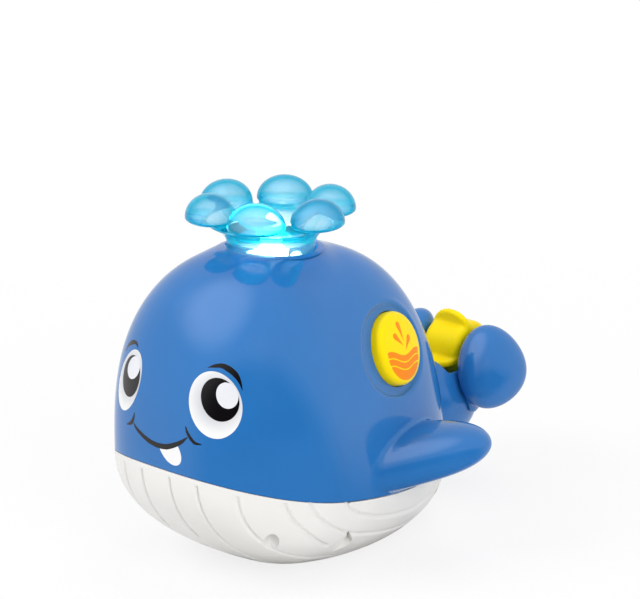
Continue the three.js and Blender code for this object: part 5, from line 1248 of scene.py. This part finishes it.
def button_form():
    rim = BUTTON_FLOOR + BUTTON_PROUD
    inner = BUTTON_RADIUS - BUTTON_WALL
    roof = rim - BUTTON_EDGE
    profile = BUTTON_PROFILE + [(BUTTON_RADIUS, BUTTON_FLANGE_TOP), (BUTTON_FLANGE_RADIUS, BUTTON_FLANGE_TOP)]
    profile += [(BUTTON_FLANGE_RADIUS, BUTTON_FLANGE_BOTTOM), (inner, BUTTON_FLANGE_BOTTOM), (inner, roof)]
    profile += [(BUTTON_STEM_RADIUS, roof), (BUTTON_STEM_RADIUS, BUTTON_STEM_END), (0.001, BUTTON_STEM_END)]
    return turned(profile[::-1], on_button)


add_form("button_form", button_form(), "yellow_plastic", ["button_cap"], "button", sharp=50)


def button_spring_form():
    """The spring under the cap, copied from its CAD mesh; the share of its length that the stroke would leave is worked
    out but not applied.
    """
    press = JOINTS["button_press"]
    node = frame["nodes"]["button_spring"]
    mesh = node.data.copy()
    mesh.transform(node.matrix_world)
    along = [vertex.co.dot(Vector(press["axis"])) for vertex in mesh.vertices]
    left = 1 - max(press["range_m"]) / (max(along) - min(along))
    spring = add_piece("button_spring_form", mesh, "steel", ["button_spring"])
    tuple(press["axis"])
    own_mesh(spring)


button_spring_form()

ICON_RADIUS = 10.9
ICON_CENTRE = np.array((-0.2, -1.85))
ICON_ROLL = math.radians(-5.4)
ICON_FILM = 0.03
WAVE_TOP = -0.15
WAVE_HEIGHT = 1.15
WAVE_LENGTH = 18.6
WAVE_PITCH = 2.9
WAVE_GAP = 0.5


def on_face(right, up):
    right, up = np.asarray(right, float), np.asarray(up, float)
    return on_button(right, up, button_face(np.hypot(right, up)) + ICON_FILM)


def wave(across):
    return WAVE_TOP - WAVE_HEIGHT * np.cos(2 * math.pi * across / WAVE_LENGTH)


def wave_band(number):
    """One band of water, from one wave line down to the next, kept inside the round."""
    across = np.linspace(-ICON_RADIUS, ICON_RADIUS, 81)
    edge = -np.sqrt(np.maximum(ICON_RADIUS ** 2 - across ** 2, 0))
    high = wave(across) - number * WAVE_PITCH
    low = high - WAVE_PITCH + WAVE_GAP if number < 2 else np.full_like(across, -2 * ICON_RADIUS)
    low = np.maximum(low, edge)
    keep = high > low + 0.02
    across, high, low = across[keep], high[keep], low[keep]
    rows = []
    for share in np.linspace(0, 1, 9):
        up = low + (high - low) * share
        rows.append(on_face(*rolled(ICON_CENTRE, ICON_ROLL, across, up)))
    return np.vstack(rows), grid_faces(9, len(across))


def drop(foot, length, width, lean):
    """A drop of water that stands on its point."""
    share = np.linspace(0, 1, 25)
    round_end = 1 - 0.6 * width / length
    taper = np.minimum(share / round_end, 1) ** 1.15
    half = width / 2 * taper * np.sqrt(1 - (np.maximum(share - round_end, 0) / (1 - round_end)) ** 2)
    rows = [on_face(*rolled(foot, -lean, half * side, share * length)) for side in np.linspace(-1, 1, 7)]
    return np.vstack(rows), grid_faces(7, len(share))


icon = [(f"icon_wave_{number + 1}", wave_band(number)) for number in range(3)]
drops = (
    ((1.4, 1.75), 8.6, 2.6, math.radians(-10)),
    ((0.5, 0.2), 7.8, 2.6, math.radians(-42)),
    ((1.0, -1.6), 7.4, 2.6, math.radians(44)),
)
icon += [(f"icon_drop_{number + 1}", drop(*sizes)) for number, sizes in enumerate(drops)]
for name, form in icon:
    add_form(name, form, "yellow_plastic", body="button", material=ink_orange)


# Face prints: places are (x, z) as seen from the nose, carried back onto the dome

FILM = 0.025


def on_dome(x, z, layer):
    """Points of the dome's front at places seen from the nose, lifted by a number of print layers."""
    x, z = np.broadcast_arrays(np.asarray(x, float), np.asarray(z, float))

    def outside(y):
        return dome_level(np.stack((x, y, z), axis=-1).reshape(-1, 3)).reshape(x.shape) > 0

    y = bisect(np.full(x.shape, -NOSE_REACH - 6.0), np.full(x.shape, SPOUT_Y), outside)[1]
    return dome_out(np.stack((x, y, z), axis=-1).reshape(-1, 3), layer * FILM)


def oval(centre, half, tilt, layer, top=None, rings=14, sides=96):
    """A filled oval print, tilted by a number of degrees, cut off above a line if there is one."""
    turns = full_turn(sides)
    shares = np.linspace(0.001, 1, rings)[:, None]
    across, up = half[0] * shares * np.cos(turns), half[1] * shares * np.sin(turns)
    x, z = rolled(centre, math.radians(tilt), across, up)
    if top:
        z = np.minimum(z, np.interp(x, *np.array(top).T))
    return on_dome(x.ravel(), z.ravel(), layer), grid_faces(rings, sides, closed=True)


def stroke(places, widths, layer, count=48):
    """A brush stroke through places, with a width at each place."""
    places = np.array(places, float)
    steps = run_along(*places.T)
    run = np.linspace(0, steps[-1], count)
    line = np.column_stack([smooth_through(steps, places[:, axis], run) for axis in (0, 1)])
    half = np.interp(run, steps, widths) / 2
    along = np.gradient(line, axis=0)
    side = np.column_stack((-along[:, 1], along[:, 0])) / np.linalg.norm(along, axis=1)[:, None]
    rows = [line + side * (half * share)[:, None] for share in np.linspace(-1, 1, 5)]
    spots = np.vstack(rows)
    return on_dome(spots[:, 0], spots[:, 1], layer), grid_faces(5, count)


MOUTH = (
    (-11.6, 31.5), (-10.5, 30.3), (-7.2, 28.5), (-2.9, 26.9), (1.5, 26.2),
    (6.5, 26.6), (10.1, 28.0), (13.3, 29.8), (15.9, 32.1),
)
LEFT_PUPIL = (25.94, 47.26)
RIGHT_PUPIL = (-15.77, 48.16)
left_shade = shaded_white("ink_white_left", on_dome(*LEFT_PUPIL, 1)[0])
right_shade = shaded_white("ink_white_right", on_dome(*RIGHT_PUPIL, 1)[0])
BLACK, WHITE = "black_plastic", "white_plastic"
prints = [
    ("eye_white_left", left_shade, WHITE, oval((24.29, 45.07), (8.4, 12.5), 17.4, 1)),
    ("eye_pupil_left", ink_black, BLACK, oval(LEFT_PUPIL, (5.63, 8.22), 24.2, 2)),
    ("eye_light_left", ink_grey, WHITE, oval((28.17, 48.91), (3.06, 4.88), 21, 3)),
    ("eye_white_right", right_shade, WHITE, oval((-17.23, 46.09), (7.5, 12.6), -20.8, 1)),
    ("eye_pupil_right", ink_black, BLACK, oval(RIGHT_PUPIL, (6.05, 7.92), -11.9, 2)),
    ("eye_light_right", ink_grey, WHITE, oval((-14.53, 51.65), (3.7, 4.69), -38.7, 3)),
    ("tooth", ink_white, WHITE, oval((7.84, 25.97), (6.8, 4.34), -49.3, 1, MOUTH)),
    ("mouth", ink_black, BLACK, stroke(MOUTH, (0.3, 1.2, 1.6, 1.9, 2.0, 2.1, 1.9, 1.5, 0.4), 2)),
    ("cheek_left", ink_black, BLACK, stroke(
        ((15.0, 36.2), (15.7, 34.2), (17.0, 32.2), (18.9, 30.4), (21.5, 30.2)), (0.3, 0.9, 1.25, 1.2, 0.3), 3)),
    ("cheek_right", ink_black, BLACK, stroke(
        ((-11.2, 35.5), (-11.7, 33.5), (-12.9, 31.4), (-16.4, 29.5)), (0.3, 1.1, 1.6, 0.4), 3)),
    ("brow_left", ink_black, BLACK, stroke(
        ((20.3, 58.4), (22.5, 59.1), (24.7, 59.3), (27.0, 58.2), (29.3, 56.2), (30.9, 53.7), (32.1, 50.8)),
        (0.15, 1.25, 1.6, 1.8, 1.45, 0.75, 0.1), 1)),
    ("brow_right", ink_black, BLACK, stroke(
        ((-24.0, 55.0), (-22.1, 57.9), (-20.1, 59.2), (-18.1, 60.0), (-16.4, 60.2), (-15.0, 59.7), (-14.1, 58.8)),
        (0.3, 1.3, 1.7, 1.5, 1.2, 0.9, 0.2), 1)),
]
for name, material, slot, form in prints:
    add_form(f"print_{name}", form, slot, material=material)


# Floor, light and camera

def seen_directly(graph):
    """1 for rays that show the background: straight to the camera, in a reflection or through clear plastic."""
    rays = graph.nodes.new("ShaderNodeLightPath").outputs
    reflected = graph.math("MAXIMUM", rays["Is Camera Ray"], rays["Is Glossy Ray"])
    return graph.math("MAXIMUM", reflected, rays["Is Transmission Ray"])


def studio_reflection(graph, direction):
    """What gloss mirrors: a pale studio, brighter above the nose, with a dark opening to the toy's left and front."""
    parts = []
    for axis, low, high in (BRIGHT_SIDE, DARK_SIDE):
        along = graph.vector("DOT_PRODUCT", direction, axis)
        parts.append(graph.mapped(along, low, high, "SMOOTHSTEP"))
    return graph.math("MULTIPLY", *parts)


def unless_mirrored(graph, plain, mirrored):
    """One value for most rays, another for rays that come from a glossy reflection."""
    glossy = graph.add("ShaderNodeLightPath", {}, "Is Glossy Ray")
    return graph.add("ShaderNodeMix", {"Factor": glossy, "A": plain, "B": mirrored}, "Result")


def floor_material():
    """Pale floor: white to the camera and to reflections, with a soft shadow kept in it near the toy."""
    material, graph = node_material("floor_paper")
    graph.shade({"Base Color": graph.tinted(3, (0.86, 0.86, 0.86), 0.01), "Roughness": 0.9})
    whiteness = graph.mapped(graph.reach_from(-SHIFT), (0.12, 0.8), (0.45, 1))
    direction = graph.vector("NORMALIZE", graph.place(), output="Vector")
    strength = unless_mirrored(graph, 1, studio_reflection(graph, direction))
    layers = {
        0: graph.math("MULTIPLY", seen_directly(graph), whiteness),
        1: graph.nodes["Principled BSDF"].outputs["BSDF"],
        2: graph.add("ShaderNodeEmission", {"Strength": strength}, "Emission"),
    }
    surface = graph.nodes["Material Output"].inputs["Surface"]
    graph.put(surface, graph.add("ShaderNodeMixShader", layers, "Shader"))
    return material


def soft_box(name, place, size, energy):
    data = bpy.data.lights.new(name, "AREA")
    data.shape = "RECTANGLE"
    data.size, data.size_y = size
    data.energy = energy
    lamp = add_object(name, data)
    lamp.visible_glossy = False
    lamp.location = place
    lamp.rotation_euler = (Vector(LAMP_TARGET) - Vector(place)).to_track_quat("-Z", "Y").to_euler()


FLOOR_REACH = 6
FILL_LIGHT = 0.55
LAMP_TARGET = (0, 0, 0.07)
# Directions of the studio, each with (share of the direction, brightness) away from it and towards it
BRIGHT_SIDE = ((-0.109, -0.408, 0.906), (0.72, 0.85), (0.97, 2.6))
DARK_SIDE = ((0.848, -0.530, -0.9), (0.3, 1), (0.75, 0.03))

floor_mesh = bpy.data.meshes.new("floor")
corners = [(x * FLOOR_REACH, y * FLOOR_REACH, 0) for x, y in ((-1, -1), (1, -1), (1, 1), (-1, 1))]
floor_mesh.from_pydata(corners, [], [(0, 1, 2, 3)])
floor_mesh.materials.append(floor_material())
floor = add_object("floor", floor_mesh)

world = bpy.data.worlds.new("studio")
bpy.context.scene.world = world
world.use_nodes = True
sky = Graph(world.node_tree)
background = sky.nodes["Background"].inputs
background["Color"].default_value = (1, 1, 1, 1)
plain_sky = sky.mapped(seen_directly(sky), (0, FILL_LIGHT), (1, 1))
mirrored_sky = studio_reflection(sky, sky.place("Generated"))
sky.put(background["Strength"], unless_mirrored(sky, plain_sky, mirrored_sky))

soft_box("key", (-0.45, -0.8, 0.9), (0.6, 0.6), 6.5)
soft_box("fill", (1.0, -0.35, 0.5), (0.5, 0.8), 4.8)
soft_box("top", (0.1, 0.3, 1.1), (0.9, 0.6), 3.6)

right = np.array((math.cos(CAMERA_BEARING), math.sin(CAMERA_BEARING), 0))
back = np.array((
    math.sin(CAMERA_BEARING) * math.cos(CAMERA_ELEVATION),
    -math.cos(CAMERA_BEARING) * math.cos(CAMERA_ELEVATION),
    math.sin(CAMERA_ELEVATION),
))
place = to_frame(right * CAMERA_SIDE + (0, 0, CAMERA_TARGET_HEIGHT) + back * CAMERA_DISTANCE)
camera_data = bpy.data.cameras.new("camera")
camera_data.lens = CAMERA_LENS
camera_data.sensor_width = SENSOR_WIDTH
camera = add_object("camera", camera_data)
turn = Matrix((right, np.cross(back, right), back)).transposed().to_4x4()
camera.matrix_world = Matrix.Translation(place) @ turn
bpy.context.scene.camera = camera
bpy.context.scene.view_settings.view_transform = "Standard"
